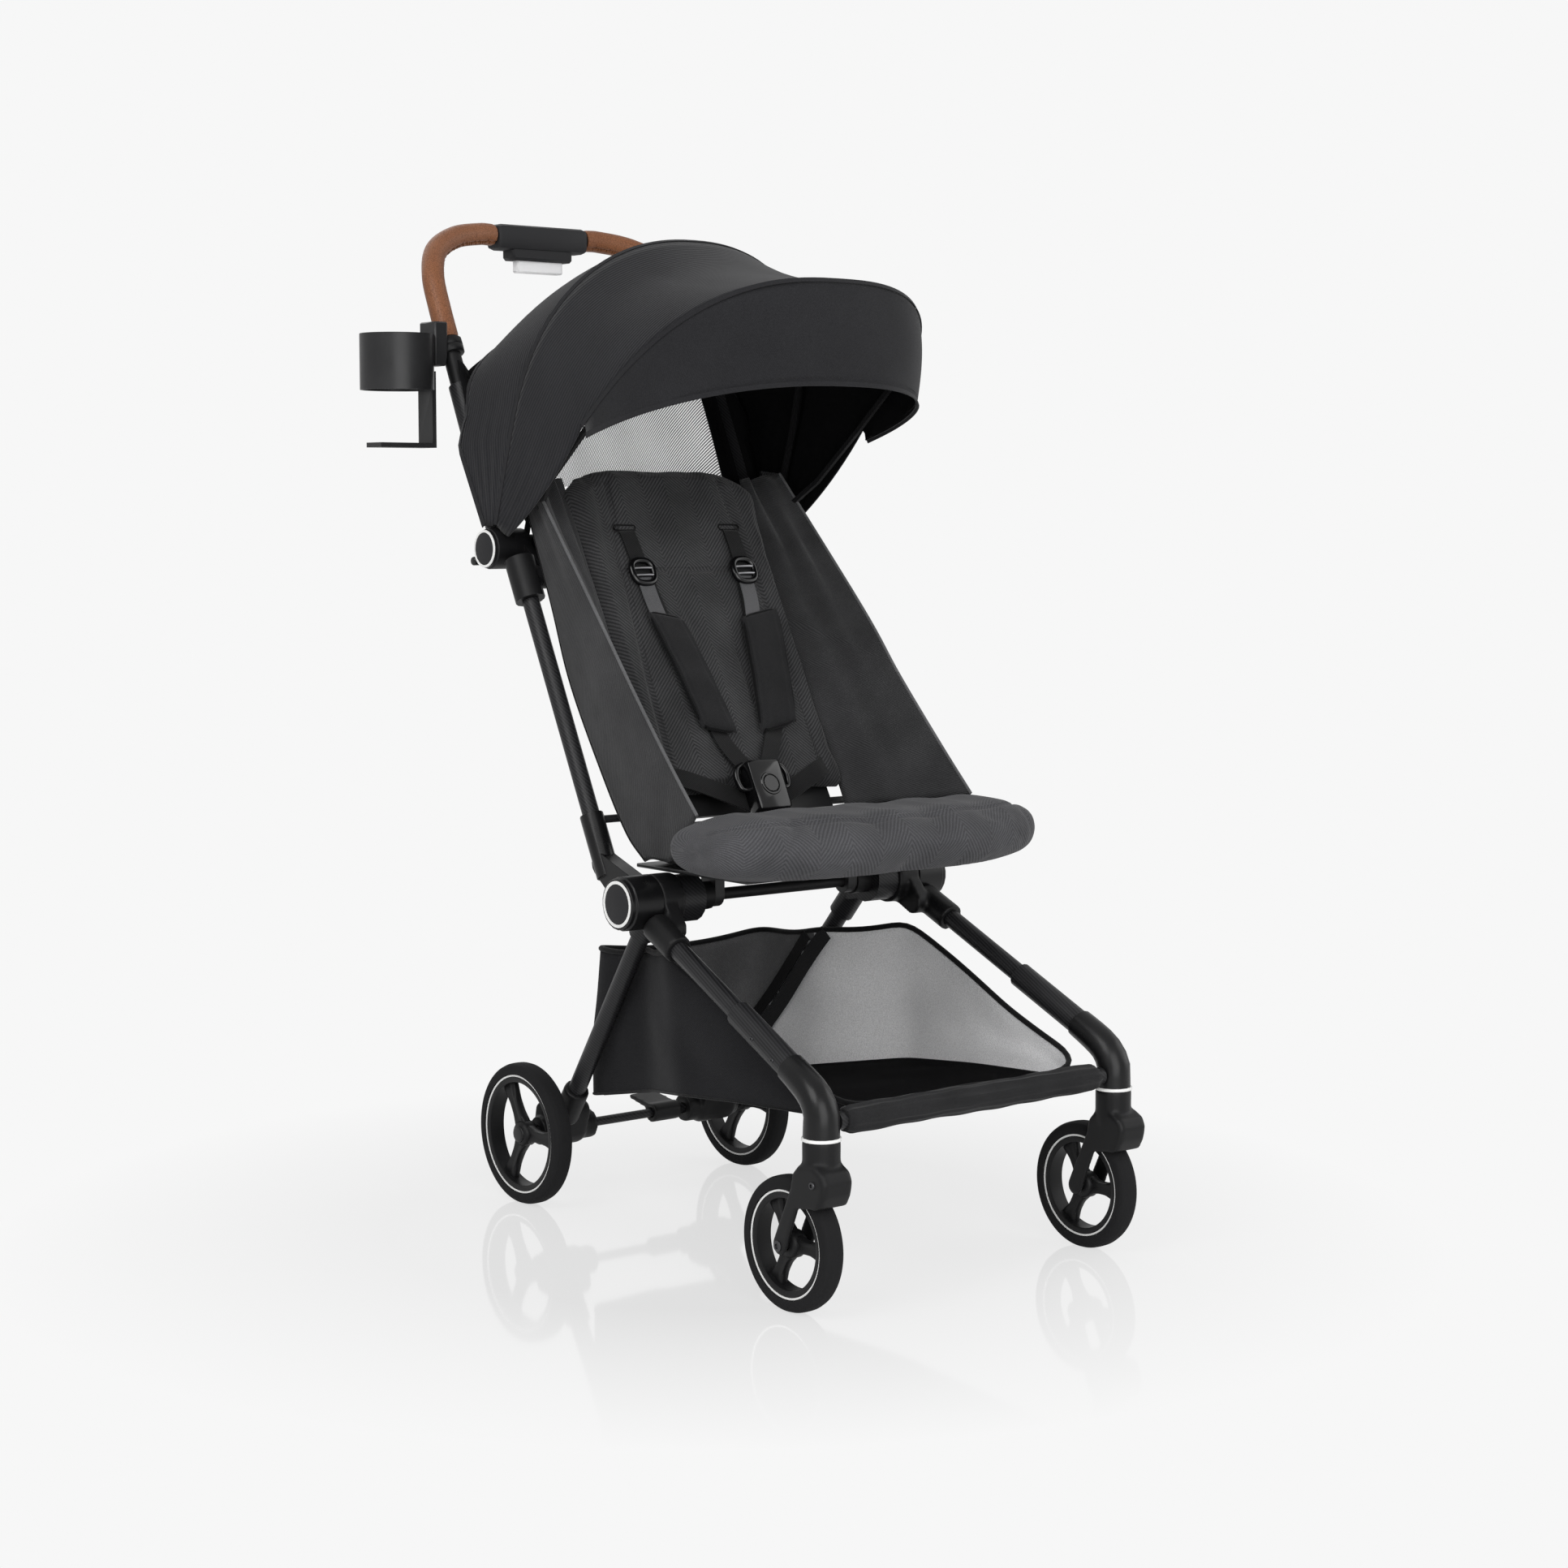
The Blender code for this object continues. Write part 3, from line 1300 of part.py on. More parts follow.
def make_handle():
    for name, side in SIDES.items():
        hub = turned(
            (side * (FRONT_BOW_RING[0] - 0.0005), *UPPER_HUB),
            (side, 0, 0),
            upper_hub_profile(),
            18,
        )
        piece(f"upper_hub_{name}", hub, "handle_frame", PLASTIC)
        start, end = OUTER_TUBE
        bore = INNER_TUBE_R + RUN
        tube = turned(
            (side * HANDLE_X, *UPPER_HUB),
            side_dir(HANDLE_ANGLE),
            [(start, 0), (start, OUTER_TUBE_R), (end, OUTER_TUBE_R), (end, bore), (0.034, bore), (0.034, 0)],
            16,
        )
        piece(f"outer_tube_{name}", tube, "handle_frame", TUBE)
    half = handle_path()
    lower = [
        (INNER_TUBE_START, INNER_TUBE_R),
        (COLLAR[0], INNER_TUBE_R),
        (COLLAR[0] + 0.0004, HANDLE_COLLAR_R - 0.001),
        (COLLAR[0] + 0.0020, HANDLE_COLLAR_R),
        (COLLAR[1] - 0.0020, HANDLE_COLLAR_R),
        (COLLAR[1] - 0.0004, HANDLE_COLLAR_R - 0.001),
        (COLLAR[1], INNER_TUBE_R),
    ]
    left = [along_handle(distance) for distance, _ in lower] + half
    radii = [radius for _, radius in lower] + [INNER_TUBE_R] * len(half)
    right = [Vector((-spot.x, spot.y, spot.z)) for spot in left[:-1]][::-1]
    piece("handle_tube", swept(left + right, radii + radii[:-1][::-1], GRIP_SIDES), "handle", TUBE)
    bore = (INNER_TUBE_R + RUN) / math.cos(math.pi / GRIP_SIDES)
    grip = [spot for spot in half if spot.x > HOUSING_HALF + 0.002]
    grip.append(Vector(HANDLE_BEND[4]) + Vector((0.0012, 0, 0)))
    for name, side in SIDES.items():
        run = [mirrored(spot, side) for spot in grip]
        leather = swept(run, [GRIP_R] * len(run), GRIP_SIDES, bore)
        piece(f"grip_{name}", leather, "handle", LEATHER)
    y = HANDLE_BEND[-1][1]
    middle = [spot for spot in half if spot.x < HOUSING_HALF + 0.03]
    channel = middle + [Vector((-spot.x, spot.y, spot.z)) for spot in middle[:-1]][::-1]
    pocket_top = BUTTON_Z[1] + BUTTON_TRAVEL + GAP
    half_depth = HOUSING_DEPTH / 2
    piece(
        "handle_housing",
        block(
            (-HOUSING_HALF, y - half_depth, HOUSING_Z[0]),
            (HOUSING_HALF, y + half_depth, HOUSING_Z[1]),
            0.0068,
        ),
        "handle",
        PLASTIC,
        steps=[
            (
                "UNION",
                block(
                    (-HOUSING_BELLY_HALF, y - half_depth + 0.003, HOUSING_BELLY_Z),
                    (HOUSING_BELLY_HALF, y + half_depth - 0.003, HOUSING_Z[0] + 0.008),
                    0.003,
                    1,
                ),
            ),
            ("DIFFERENCE", swept(channel, [bore] * len(channel), GRIP_SIDES)),
            (
                "DIFFERENCE",
                block(
                    (-BUTTON_HALF - GAP, y - BUTTON_DEPTH / 2 - GAP, HOUSING_BELLY_Z - 0.01),
                    (BUTTON_HALF + GAP, y + BUTTON_DEPTH / 2 + GAP, pocket_top),
                ),
            ),
        ],
    )
    piece(
        "release_button",
        block(
            (-BUTTON_HALF, y - BUTTON_DEPTH / 2, BUTTON_Z[0]),
            (BUTTON_HALF, y + BUTTON_DEPTH / 2, BUTTON_Z[1]),
            0.0015,
            1,
        ),
        "handle_release",
        CLEAR,
    )
    make_cup_holder()


def upper_hub_profile():
    """Pin, disc and cap, measured from the pin's inner end."""
    start = FRONT_BOW_RING[0] - 0.0005
    disc_from = UPPER_RING[0] - start
    disc_to = UPPER_RING[1] - start
    cap = UPPER_CAP_END - start
    return [
        (0, 0),
        (0, PIN_R),
        (disc_from, PIN_R),
        (disc_from, UPPER_R),
        (disc_to, UPPER_R),
        (disc_to + 0.0010, UPPER_R - 0.0012),
        (cap - 0.001, UPPER_R - 0.0012),
        (cap, UPPER_R - 0.0022),
        (cap, 0),
    ]


def make_cup_holder():
    x, y = CUP_CENTRE
    inner = CUP_R - CUP_WALL
    cup = turned(
        (x, y, 0),
        (0, 0, 1),
        [(CUP_Z[0], inner), (CUP_Z[0], CUP_R), (CUP_Z[1], CUP_R), (CUP_Z[1], inner)],
        24,
    )
    strap = block(
        (CUP_STRAP_X[0], y - CUP_STRAP_HALF, CUP_FOOT_Z[0]),
        (CUP_STRAP_X[1], y + CUP_STRAP_HALF, CUP_Z[0] + 0.020),
    )
    foot = block(
        (CUP_FOOT_END, y - CUP_STRAP_HALF - 0.0005, CUP_FOOT_Z[0] - 0.00005),
        (CUP_STRAP_X[1] - 0.0005, y + CUP_STRAP_HALF + 0.0005, CUP_FOOT_Z[1]),
    )
    jaw_middle = along_handle((COLLAR[0] + COLLAR[1]) / 2)
    jaw = block(
        (CUP_JAW_X[0], jaw_middle.y - 0.013, jaw_middle.z - 0.020),
        (CUP_JAW_X[1], jaw_middle.y + 0.018, jaw_middle.z + 0.026),
        0.0015,
        1,
    )
    hug = bar(
        along_handle(COLLAR[0] - 0.04, -HANDLE_X),
        along_handle(COLLAR[1] + 0.04, -HANDLE_X),
        HANDLE_COLLAR_R + GAP,
        24,
    )
    piece(
        "cup_holder",
        cup,
        "handle",
        PLASTIC,
        steps=[("UNION", strap), ("UNION", foot), ("UNION", jaw), ("DIFFERENCE", hug)],
    )


def bow(name, body, ring, hoop):
    """Hoop of round rod under the cloth, with a ring on each hub pin."""
    arch = hoop_arch({**hoop, "half": hoop["half"] - BOW_INSET}, 7, 2)
    turn_in = BOW_INSET
    middle = (ring[0] + ring[1]) / 2
    path = []
    for x, radius in arch:
        share = min(1.0, abs(x) / (hoop["half"] - BOW_INSET))
        path.append((x, radius - turn_in * (1 - share**6)))
    upright = [spot for spot in path if spot[1] > 0.075]
    foot = [(middle, BOW_RING_R - 0.003), (middle, 0.030), ((middle + upright[0][0] * -1) / 2, 0.050)]
    left = [(-x, r) for x, r in foot]
    right = foot[::-1]
    line = left + upright + right
    points = [hoop_spot(x, radius, hoop["angle"]) for x, radius in line]
    rings = []
    for side in (-1, 1):
        rings.append(("UNION", across(*ring, UPPER_HUB, BOW_RING_R, 12, side)))
    for side in (-1, 1):
        rings.append(("DIFFERENCE", across(0.12, 0.165, UPPER_HUB, PIN_R + RUN, BORE_SIDES, side)))
    piece(name, swept(points, [BOW_R] * len(points), 5), body, TUBE, rings)


def make_canopy():
    rear = hoop_arch(REAR_HOOP)
    mid = hoop_arch(MID_HOOP)
    front = hoop_arch(FRONT_HOOP)
    hem = [hoop_spot(x, radius, rear_hem(radius)) for x, radius in rear]
    mid_rear = [seam_spot(x, radius, MID_HOOP["angle"], -SEAM_HALF) for x, radius in mid]
    mid_front = [seam_spot(x, radius, MID_HOOP["angle"], SEAM_HALF) for x, radius in mid]
    arch = [seam_spot(x, radius, front_hem(radius), -FOLD_SEAM_HALF) for x, radius in front]
    rows = gore(hem, mid_rear, 4, REAR_GORE_SAG)
    bm = bmesh.new()
    grid = [[bm.verts.new(spot) for spot in row] for row in rows]
    join_rows(bm, grid)
    window = [step for step, spot in enumerate(hem) if abs(spot.x) < 0.125]
    half, foot_y, foot_z = WINDOW_FOOT
    widest = max(abs(hem[step].x) for step in window)
    upper = [grid[0][step] for step in window]
    for row in range(1, 4):
        share = row / 3
        line = []
        for step in window:
            foot = Vector((hem[step].x / widest * half, foot_y, foot_z))
            line.append(bm.verts.new(hem[step].lerp(foot, share)))
        join_rows(bm, [upper, line])
        upper = line
    cloth_piece("canopy_rear", bm, "handle_frame", CANOPY_CLOTH, CLOTH)
    cloth_piece("canopy_middle", sheet(gore(mid_front, arch, 4, MIDDLE_GORE_SAG)), "canopy_mid", CANOPY_CLOTH, CLOTH)
    bow("mid_bow", "canopy_mid", MID_BOW_RING, MID_HOOP)
    bow("front_bow", "canopy_front", FRONT_BOW_RING, FRONT_HOOP)
    make_front_band()


def make_front_band():
    """Front panel of the canopy, from the arch down to its rim."""
    arch = hoop_half_arch(FRONT_HOOP, ARCH_STEPS, 0)
    arch[0] = (arch[0][0], arch[0][1] + 0.006)
    rim_power = 2 / RIM_SQUARE
    corner = Vector(RIM_CORNER)
    middle = Vector(RIM_MIDDLE)
    half = []
    for step, (x, radius) in enumerate(arch):
        turn = math.pi / 2 * step / ARCH_STEPS
        side = max(math.cos(turn), 0.0)
        top = seam_spot(x, radius, FRONT_HOOP["angle"], FOLD_SEAM_HALF)
        depth = math.sin(turn) ** rim_power
        rim = Vector(
            (
                corner.x * side**rim_power,
                corner.y + (middle.y - corner.y) * depth,
                corner.z + (middle.z - corner.z) * depth,
            )
        )
        half.append((top, rim))
    rows = []
    for row in range(4):
        share = row / 3
        line = []
        for top, rim in half:
            spot = top.lerp(rim, share)
            width = (top - rim).length
            line.append(spot + Vector((0, -0.06 * width * math.sin(math.pi * share), 0)))
        far = [Vector((-spot.x, spot.y, spot.z)) for spot in line[:-1]]
        rows.append(line[:-1] + [line[-1]] + far[::-1])
    cloth_piece("canopy_front_band", sheet(rows), "canopy_front", CANOPY_CLOTH, CLOTH)


def centre_on_ground():
    """Move the root so that the origin lies under the middle of the whole stroller."""
    bpy.context.view_layer.update()
    graph = bpy.context.evaluated_depsgraph_get()
    spots = []
    for made in bpy.context.scene.objects:
        if made.type == "MESH" and not made.hide_render:
            solid = made.evaluated_get(graph)
            spots += [solid.matrix_world @ Vector(corner) for corner in solid.bound_box]
    root = BODIES["chassis"][0]
    for axis in range(3):
        values = [spot[axis] for spot in spots]
        middle = (min(values) + max(values)) / 2 if axis < 2 else min(values)
        root.location[axis] -= middle


make_bodies()
make_chassis()
make_casters()
make_rear_legs()
make_push_frame()
make_seat()
make_backrest()
make_handle()
make_canopy()
centre_on_ground()
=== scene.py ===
import json
import math
import random

import bmesh
import bpy
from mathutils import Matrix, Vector, noise
from mathutils.bvhtree import BVHTree

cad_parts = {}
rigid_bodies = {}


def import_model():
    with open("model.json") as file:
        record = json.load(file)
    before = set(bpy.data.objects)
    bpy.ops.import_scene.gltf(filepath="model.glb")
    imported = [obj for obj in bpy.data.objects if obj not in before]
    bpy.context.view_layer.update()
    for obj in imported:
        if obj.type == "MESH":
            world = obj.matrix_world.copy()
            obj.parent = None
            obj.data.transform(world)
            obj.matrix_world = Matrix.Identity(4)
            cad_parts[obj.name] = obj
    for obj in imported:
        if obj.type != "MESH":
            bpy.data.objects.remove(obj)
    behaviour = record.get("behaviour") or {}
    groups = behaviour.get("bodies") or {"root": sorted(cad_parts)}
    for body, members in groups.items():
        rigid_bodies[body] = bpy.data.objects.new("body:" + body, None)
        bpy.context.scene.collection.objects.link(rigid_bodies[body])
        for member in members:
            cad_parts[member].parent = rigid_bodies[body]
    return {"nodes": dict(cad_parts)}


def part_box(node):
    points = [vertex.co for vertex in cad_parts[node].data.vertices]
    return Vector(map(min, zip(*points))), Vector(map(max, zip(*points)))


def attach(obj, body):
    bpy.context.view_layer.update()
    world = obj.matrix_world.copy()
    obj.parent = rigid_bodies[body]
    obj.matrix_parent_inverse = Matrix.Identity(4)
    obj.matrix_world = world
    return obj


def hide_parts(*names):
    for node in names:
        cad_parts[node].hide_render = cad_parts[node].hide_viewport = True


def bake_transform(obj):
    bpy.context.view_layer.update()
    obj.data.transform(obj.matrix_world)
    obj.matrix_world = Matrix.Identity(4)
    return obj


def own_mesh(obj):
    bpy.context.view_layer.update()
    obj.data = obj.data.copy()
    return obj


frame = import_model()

# Lightweight stroller. Shapes are drawn with x = 0 halfway across the frame, in metres,
# and everything is moved by "shift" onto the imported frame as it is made.
nodes = frame["nodes"]
scene = bpy.context.scene
for spare in [thing for thing in bpy.data.objects if thing.name in ("Cube", "Light", "Camera")]:
    bpy.data.objects.remove(spare)
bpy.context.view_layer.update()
shaftLow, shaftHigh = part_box("hub_crossbar")
lowerHub = (0.0058, 0.351)
upperHub = (0.249, 0.693)
shift = (shaftLow + shaftHigh) / 2 - Vector((0, *lowerHub))
sides = {"right": -1, "left": 1}
random.seed(7)
print("frame loaded:", len(nodes), "nodes")


# Small tools

def toLinear(hexColour):
    channels = [int(hexColour[at:at + 2], 16) / 255 for at in (1, 3, 5)]
    return tuple(c / 12.92 if c <= 0.04045 else ((c + 0.055) / 1.055) ** 2.4 for c in channels) + (1.0,)


def addNode(tree, kind, settings=None, links=None):
    node = tree.nodes.new(kind)
    for key, value in (settings or {}).items():
        if isinstance(key, int) or key in node.inputs:
            node.inputs[key].default_value = value
        else:
            setattr(node, key, value)
    for key, source in (links or {}).items():
        tree.links.new(source, node.inputs[key])
    return node


def startMaterial(name, settings):
    made = bpy.data.materials.new(name)
    made.use_nodes = True
    shader = made.node_tree.nodes["Principled BSDF"]
    for key, value in settings.items():
        shader.inputs[key].default_value = value
    return made, made.node_tree, shader


def sideWay(angle):
    turn = math.radians(angle)
    return Vector((0, math.cos(turn), math.sin(turn)))


def flipped(spot, side):
    return Vector((spot[0] * side, spot[1], spot[2]))


def mixSpots(a, b, share):
    return Vector(a).lerp(Vector(b), share)


def ramp(value, low, high):
    share = min(max((value - low) / (high - low), 0.0), 1.0)
    return share * share * (3 - 2 * share)


def smoothPath(points, perSpan):
    points = [Vector(point) for point in points]
    found = []
    for step in range(len(points) - 1):
        p1 = points[step]
        p2 = points[step + 1]
        p0 = points[step - 1] if step else p1 * 2 - p2
        p3 = points[step + 2] if step + 2 < len(points) else p2 * 2 - p1
        for part in range(perSpan):
            t = part / perSpan
            found.append((p1 * 2 + (p2 - p0) * t + (p0 * 2 - p1 * 5 + p2 * 4 - p3) * t * t
                          + (p1 * 3 - p0 - p2 * 3 + p3) * t ** 3) / 2)
    return found + [points[-1]]


def backPoint(x, t, n):
    # t runs up the front face of the back pad, n goes away from the child
    return Vector((x, 0.047, 0.450)) + sideWay(63.3) * t + sideWay(-26.7) * n


def alongHandle(distance, x):
    return Vector((x, *upperHub)) + sideWay(65) * distance


def hoopSpot(x, radius, angle):
    return Vector((x, *upperHub)) + sideWay(angle) * radius


def makePiece(name, spots, faces, looks, body=None, uvs=None, faceLooks=None):
    mesh = bpy.data.meshes.new(name)
    mesh.from_pydata([Vector(spot) + shift for spot in spots], [], faces)
    for look in looks if isinstance(looks, list) else [looks]:
        mesh.materials.append(look)
    if faceLooks:
        for face, index in zip(mesh.polygons, faceLooks):
            face.material_index = index
    if uvs:
        layer = mesh.uv_layers.new(name="cloth")
        for loop in mesh.loops:
            layer.data[loop.index].uv = uvs[loop.vertex_index]
    mesh.shade_smooth()
    mesh.set_sharp_from_angle(angle=math.radians(50))
    made = bpy.data.objects.new(name, mesh)
    scene.collection.objects.link(made)
    if body:
        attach(made, body)
    return made


def outward(made):
    bm = bmesh.new()
    bm.from_mesh(made.data)
    bmesh.ops.recalc_face_normals(bm, faces=bm.faces)
    bm.to_mesh(made.data)
    bm.free()
    return made


def closedPiece(name, shape, look, body=None):
    return outward(makePiece(name, *shape, look, body))


def joined(parts):
    spots, faces = [], []
    for partSpots, partFaces in parts:
        base = len(spots)
        spots += partSpots
        faces += [[base + corner for corner in face] for face in partFaces]
    return spots, faces


def gridFaces(rows, columns, loop=False):
    faces = []
    for row in range(rows - 1):
        for step in range(columns if loop else columns - 1):
            after = (step + 1) % columns
            here = row * columns
            faces.append((here + step, here + after, here + columns + after, here + columns + step))
    return faces


def clothUvs(rows, centred=False):
    # running lengths in metres: u along each row, v from row to row
    uvs = []
    columns = len(rows[0])
    down = [0.0] * columns
    total = [sum((b[at] - a[at]).length for a, b in zip(rows, rows[1:])) for at in range(columns)]
    for number, row in enumerate(rows):
        run = 0.0
        for at, spot in enumerate(row):
            if at:
                run += (spot - row[at - 1]).length
            if number:
                down[at] += (spot - rows[number - 1][at]).length
            uvs.append((run, down[at] - (total[at] / 2 if centred else 0)))
    return uvs


def sheetSize(rows):
    # widest and longest way over the cloth, and its area
    wide = max(sum((b - a).length for a, b in zip(row, row[1:])) for row in rows)
    columns = list(zip(*rows))
    long = max(sum((b - a).length for a, b in zip(column, column[1:])) for column in columns)
    area = 0.0
    for upper, lower in zip(rows, rows[1:]):
        for at in range(len(upper) - 1):
            area += (upper[at + 1] - upper[at]).cross(lower[at] - upper[at]).length / 2
            area += (lower[at] - lower[at + 1]).cross(upper[at + 1] - lower[at + 1]).length / 2
    return wide, long, area


def declareSheet(made, rows, held, shrink=1.0):
    wide, long, area = sheetSize(rows)
    wide, long, area = round(wide, 3), round(long, 3), area * shrink
    area = min(max(area, 0.31 * wide * long), wide * long)
    print(f"  sheet {made.name}: {wide * 1000:.0f} x {long * 1000:.0f} mm, {area:.4f} m2, {held}")


def sheetPiece(name, rows, looks, body, thickness, centred=False, lining=False):
    spots = [spot for row in rows for spot in row]
    faces = gridFaces(len(rows), len(rows[0]))
    made = makePiece(name, spots, faces, looks, body, clothUvs(rows, centred))
    solid = made.modifiers.new("thickness", "SOLIDIFY")
    solid.thickness = thickness
    solid.offset = 0
    if lining:  # the side away from the face normals takes the second material
        solid.material_offset = 1
        solid.material_offset_rim = 0
    return made


def sweep(path, radius, steps=12, closed=False, inner=None, shape=None):
    # inner(spot) gives the way that angle 0 looks; shape(angle, share) changes the radius
    path = [Vector(spot) for spot in path]
    count = len(path)
    spots, faces = [], []
    lastUp = None
    for number, spot in enumerate(path):
        before = path[(number - 1) % count] if closed or number else spot
        after = path[(number + 1) % count] if closed or number < count - 1 else spot
        way = (after - before).normalized()
        if inner:
            up = inner(spot)
        elif lastUp is None:
            up = Vector((0, 0, 1)) if abs(way.z) < 0.9 else Vector((1, 0, 0))
        else:
            up = lastUp
        up = (up - way * up.dot(way)).normalized()
        lastUp = up
        other = way.cross(up)
        share = number / max(count - 1, 1)
        wide = radius(share) if callable(radius) else radius
        for step in range(steps):
            angle = 2 * math.pi * step / steps
            reach = wide * (shape(angle, share) if shape else 1.0)
            spots.append(spot + up * math.cos(angle) * reach + other * math.sin(angle) * reach)
    faces = gridFaces(count, steps, loop=True)
    if closed:
        last = (count - 1) * steps
        for step in range(steps):
            after = (step + 1) % steps
            faces.append((last + step, last + after, after, step))
    else:
        faces.append(list(range(steps))[::-1])
        faces.append([(count - 1) * steps + step for step in range(steps)])
    return spots, faces


def lathe(centre, axis, profile, steps=64, ring=False):
    # profile holds (along, radius); a ring's profile is itself a loop
    axis = Vector(axis).normalized()
    first = axis.orthogonal().normalized()
    second = axis.cross(first)
    spots = []
    for along, radius in profile:
        for step in range(steps):
            angle = 2 * math.pi * step / steps
            spots.append(Vector(centre) + axis * along
                         + (first * math.cos(angle) + second * math.sin(angle)) * radius)
    faces = gridFaces(len(profile), steps, loop=True)
    last = (len(profile) - 1) * steps
    if ring:
        for step in range(steps):
            after = (step + 1) % steps
            faces.append((last + step, last + after, after, step))
    else:
        faces.append(list(range(steps))[::-1])
        faces.append([last + step for step in range(steps)])
    return spots, faces


def ribbon(path, widths, thins, thickness):
    # flat strap with rounded edges: widths are half-width vectors, thins its thin way
    spots = []
    half = thickness / 2
    for centre, width, thin in zip(path, widths, thins):
        for across, height in ((-1, 0), (-0.96, 1), (0, 1), (0.96, 1), (1, 0), (0.96, -1), (0, -1),
                               (-0.96, -1)):
            spots.append(centre + width * across + thin * height * half)
    faces = gridFaces(len(path), 8, loop=True)
    faces.append(list(range(8))[::-1])
    faces.append([(len(path) - 1) * 8 + step for step in range(8)])
    return spots, faces


def nearestOn(tree, spot):
    found, normal, _, _ = tree.find_nearest(Vector(spot) + shift)
    return found - shift, normal


def surfaceOf(made):
    graph = bpy.context.evaluated_depsgraph_get()
    return BVHTree.FromObject(made, graph)


def stitchRun(path, tree, look, across=False):
    # short raised threads along a path that lies on a surface
    parts = []
    run = 0.0
    pitch = look["length"] + look["gap"]
    for a, b in zip(path, path[1:]):
        span = (b - a).length
        while run < span:
            at = mixSpots(a, b, run / max(span, 1e-6))
            way = (b - a).normalized()
            spot, normal = nearestOn(tree, at)
            if across:
                way = way.cross(normal).normalized()
            ends = [spot - way * look["length"] / 2, spot + way * look["length"] / 2]
            line = [ends[0] - normal * look["radius"], mixSpots(ends[0], ends[1], 0.2) + normal * look["lift"],
                    mixSpots(ends[0], ends[1], 0.8) + normal * look["lift"], ends[1] - normal * look["radius"]]
            parts.append(sweep(line, look["radius"], 5))
            run += pitch
        run -= span
    return joined(parts)


# Materials

def patternValue(tree, u, v, look):
    # 0 to 1 over one thread; spacing and width are real millimetres
    turns = 2 * math.pi / (look["spacing"] / 1000)
    if look["weave"] == "herringbone":
        zig = addNode(tree, "ShaderNodeMath", {"operation": "PINGPONG", 1: look["width"] / 1000}, {0: u})
        run = addNode(tree, "ShaderNodeMath", {"operation": "ADD"}, {0: v, 1: zig.outputs[0]}).outputs[0]
    elif look["weave"] == "diagonal":
        run = addNode(tree, "ShaderNodeMath", {"operation": "ADD"}, {0: v, 1: u}).outputs[0]
    elif look["weave"] == "stripe":
        run = v
    else:
        run = u
    wave = addNode(tree, "ShaderNodeMath", {"operation": "MULTIPLY", 1: turns}, {0: run})
    wave = addNode(tree, "ShaderNodeMath", {"operation": "SINE"}, {0: wave.outputs[0]})
    if look["weave"] in ("plain", "mesh"):
        other = addNode(tree, "ShaderNodeMath", {"operation": "MULTIPLY", 1: turns}, {0: v})
        other = addNode(tree, "ShaderNodeMath", {"operation": "SINE"}, {0: other.outputs[0]})
        wave = addNode(tree, "ShaderNodeMath", {"operation": "MULTIPLY"},
                       {0: wave.outputs[0], 1: other.outputs[0]})
    return addNode(tree, "ShaderNodeMath", {"operation": "MULTIPLY_ADD", 1: 0.5, 2: 0.5},
                   {0: wave.outputs[0]}).outputs[0]


def wovenCloth(name, look):
    made, tree, shader = startMaterial(name, {
        "Roughness": look["roughness"], "Specular IOR Level": look.get("gloss", 0.06),
        "Sheen Weight": look.get("sheen", 0.12), "Sheen Roughness": 0.45})
    spotIn = addNode(tree, "ShaderNodeTexCoord").outputs["Object"]
    if look.get("tilt") is None:
        laid = addNode(tree, "ShaderNodeUVMap", {"uv_map": "cloth"}).outputs[0]
    else:
        laid = addNode(tree, "ShaderNodeMapping", {"Rotation": (math.radians(-look["tilt"]), 0, 0)},
                       {"Vector": spotIn}).outputs[0]
    split = addNode(tree, "ShaderNodeSeparateXYZ", links={0: laid})
    weave = patternValue(tree, split.outputs[0], split.outputs[1], look)
    mottle = addNode(tree, "ShaderNodeTexNoise", {"Scale": 1000 / look.get("mottle", 60), "Detail": 3},
                     {"Vector": spotIn})
    fuzz = addNode(tree, "ShaderNodeTexNoise", {"Scale": 1000 / 1.1, "Detail": 2}, {"Vector": spotIn})
    strength = addNode(tree, "ShaderNodeMath", {"operation": "MULTIPLY", 1: look["contrast"]}, {0: weave})
    threads = addNode(tree, "ShaderNodeMix", {"data_type": "RGBA", 6: toLinear(look["colour"]),
                                              7: toLinear(look["thread"])}, {0: strength.outputs[0]})
    tone = addNode(tree, "ShaderNodeMapRange", {1: 0.3, 2: 0.7, 3: 1 - look.get("variation", 0.16),
                                                4: 1 + look.get("variation", 0.16)}, {0: mottle.outputs[0]})
    grain = addNode(tree, "ShaderNodeMapRange", {1: 0.3, 2: 0.7, 3: 0.82, 4: 1.18}, {0: fuzz.outputs[0]})
    shade = addNode(tree, "ShaderNodeMath", {"operation": "MULTIPLY"},
                    {0: tone.outputs[0], 1: grain.outputs[0]})
    dyed = addNode(tree, "ShaderNodeVectorMath", {"operation": "SCALE"},
                   {0: threads.outputs[2], "Scale": shade.outputs[0]})
    tree.links.new(dyed.outputs[0], shader.inputs["Base Color"])
    height = addNode(tree, "ShaderNodeMath", {"operation": "MULTIPLY_ADD", 1: 0.35},
                     {0: fuzz.outputs[0], 2: weave})
    bump = addNode(tree, "ShaderNodeBump", {"Strength": look.get("bump", 0.35), "Distance": 0.0006},
                   {"Height": height.outputs[0]})
    tree.links.new(bump.outputs[0], shader.inputs["Normal"])
    if look["weave"] == "mesh":
        holes = addNode(tree, "ShaderNodeMath", {"operation": "LESS_THAN", 1: look["closed"]}, {0: weave})
        tree.links.new(holes.outputs[0], shader.inputs["Alpha"])
    return made


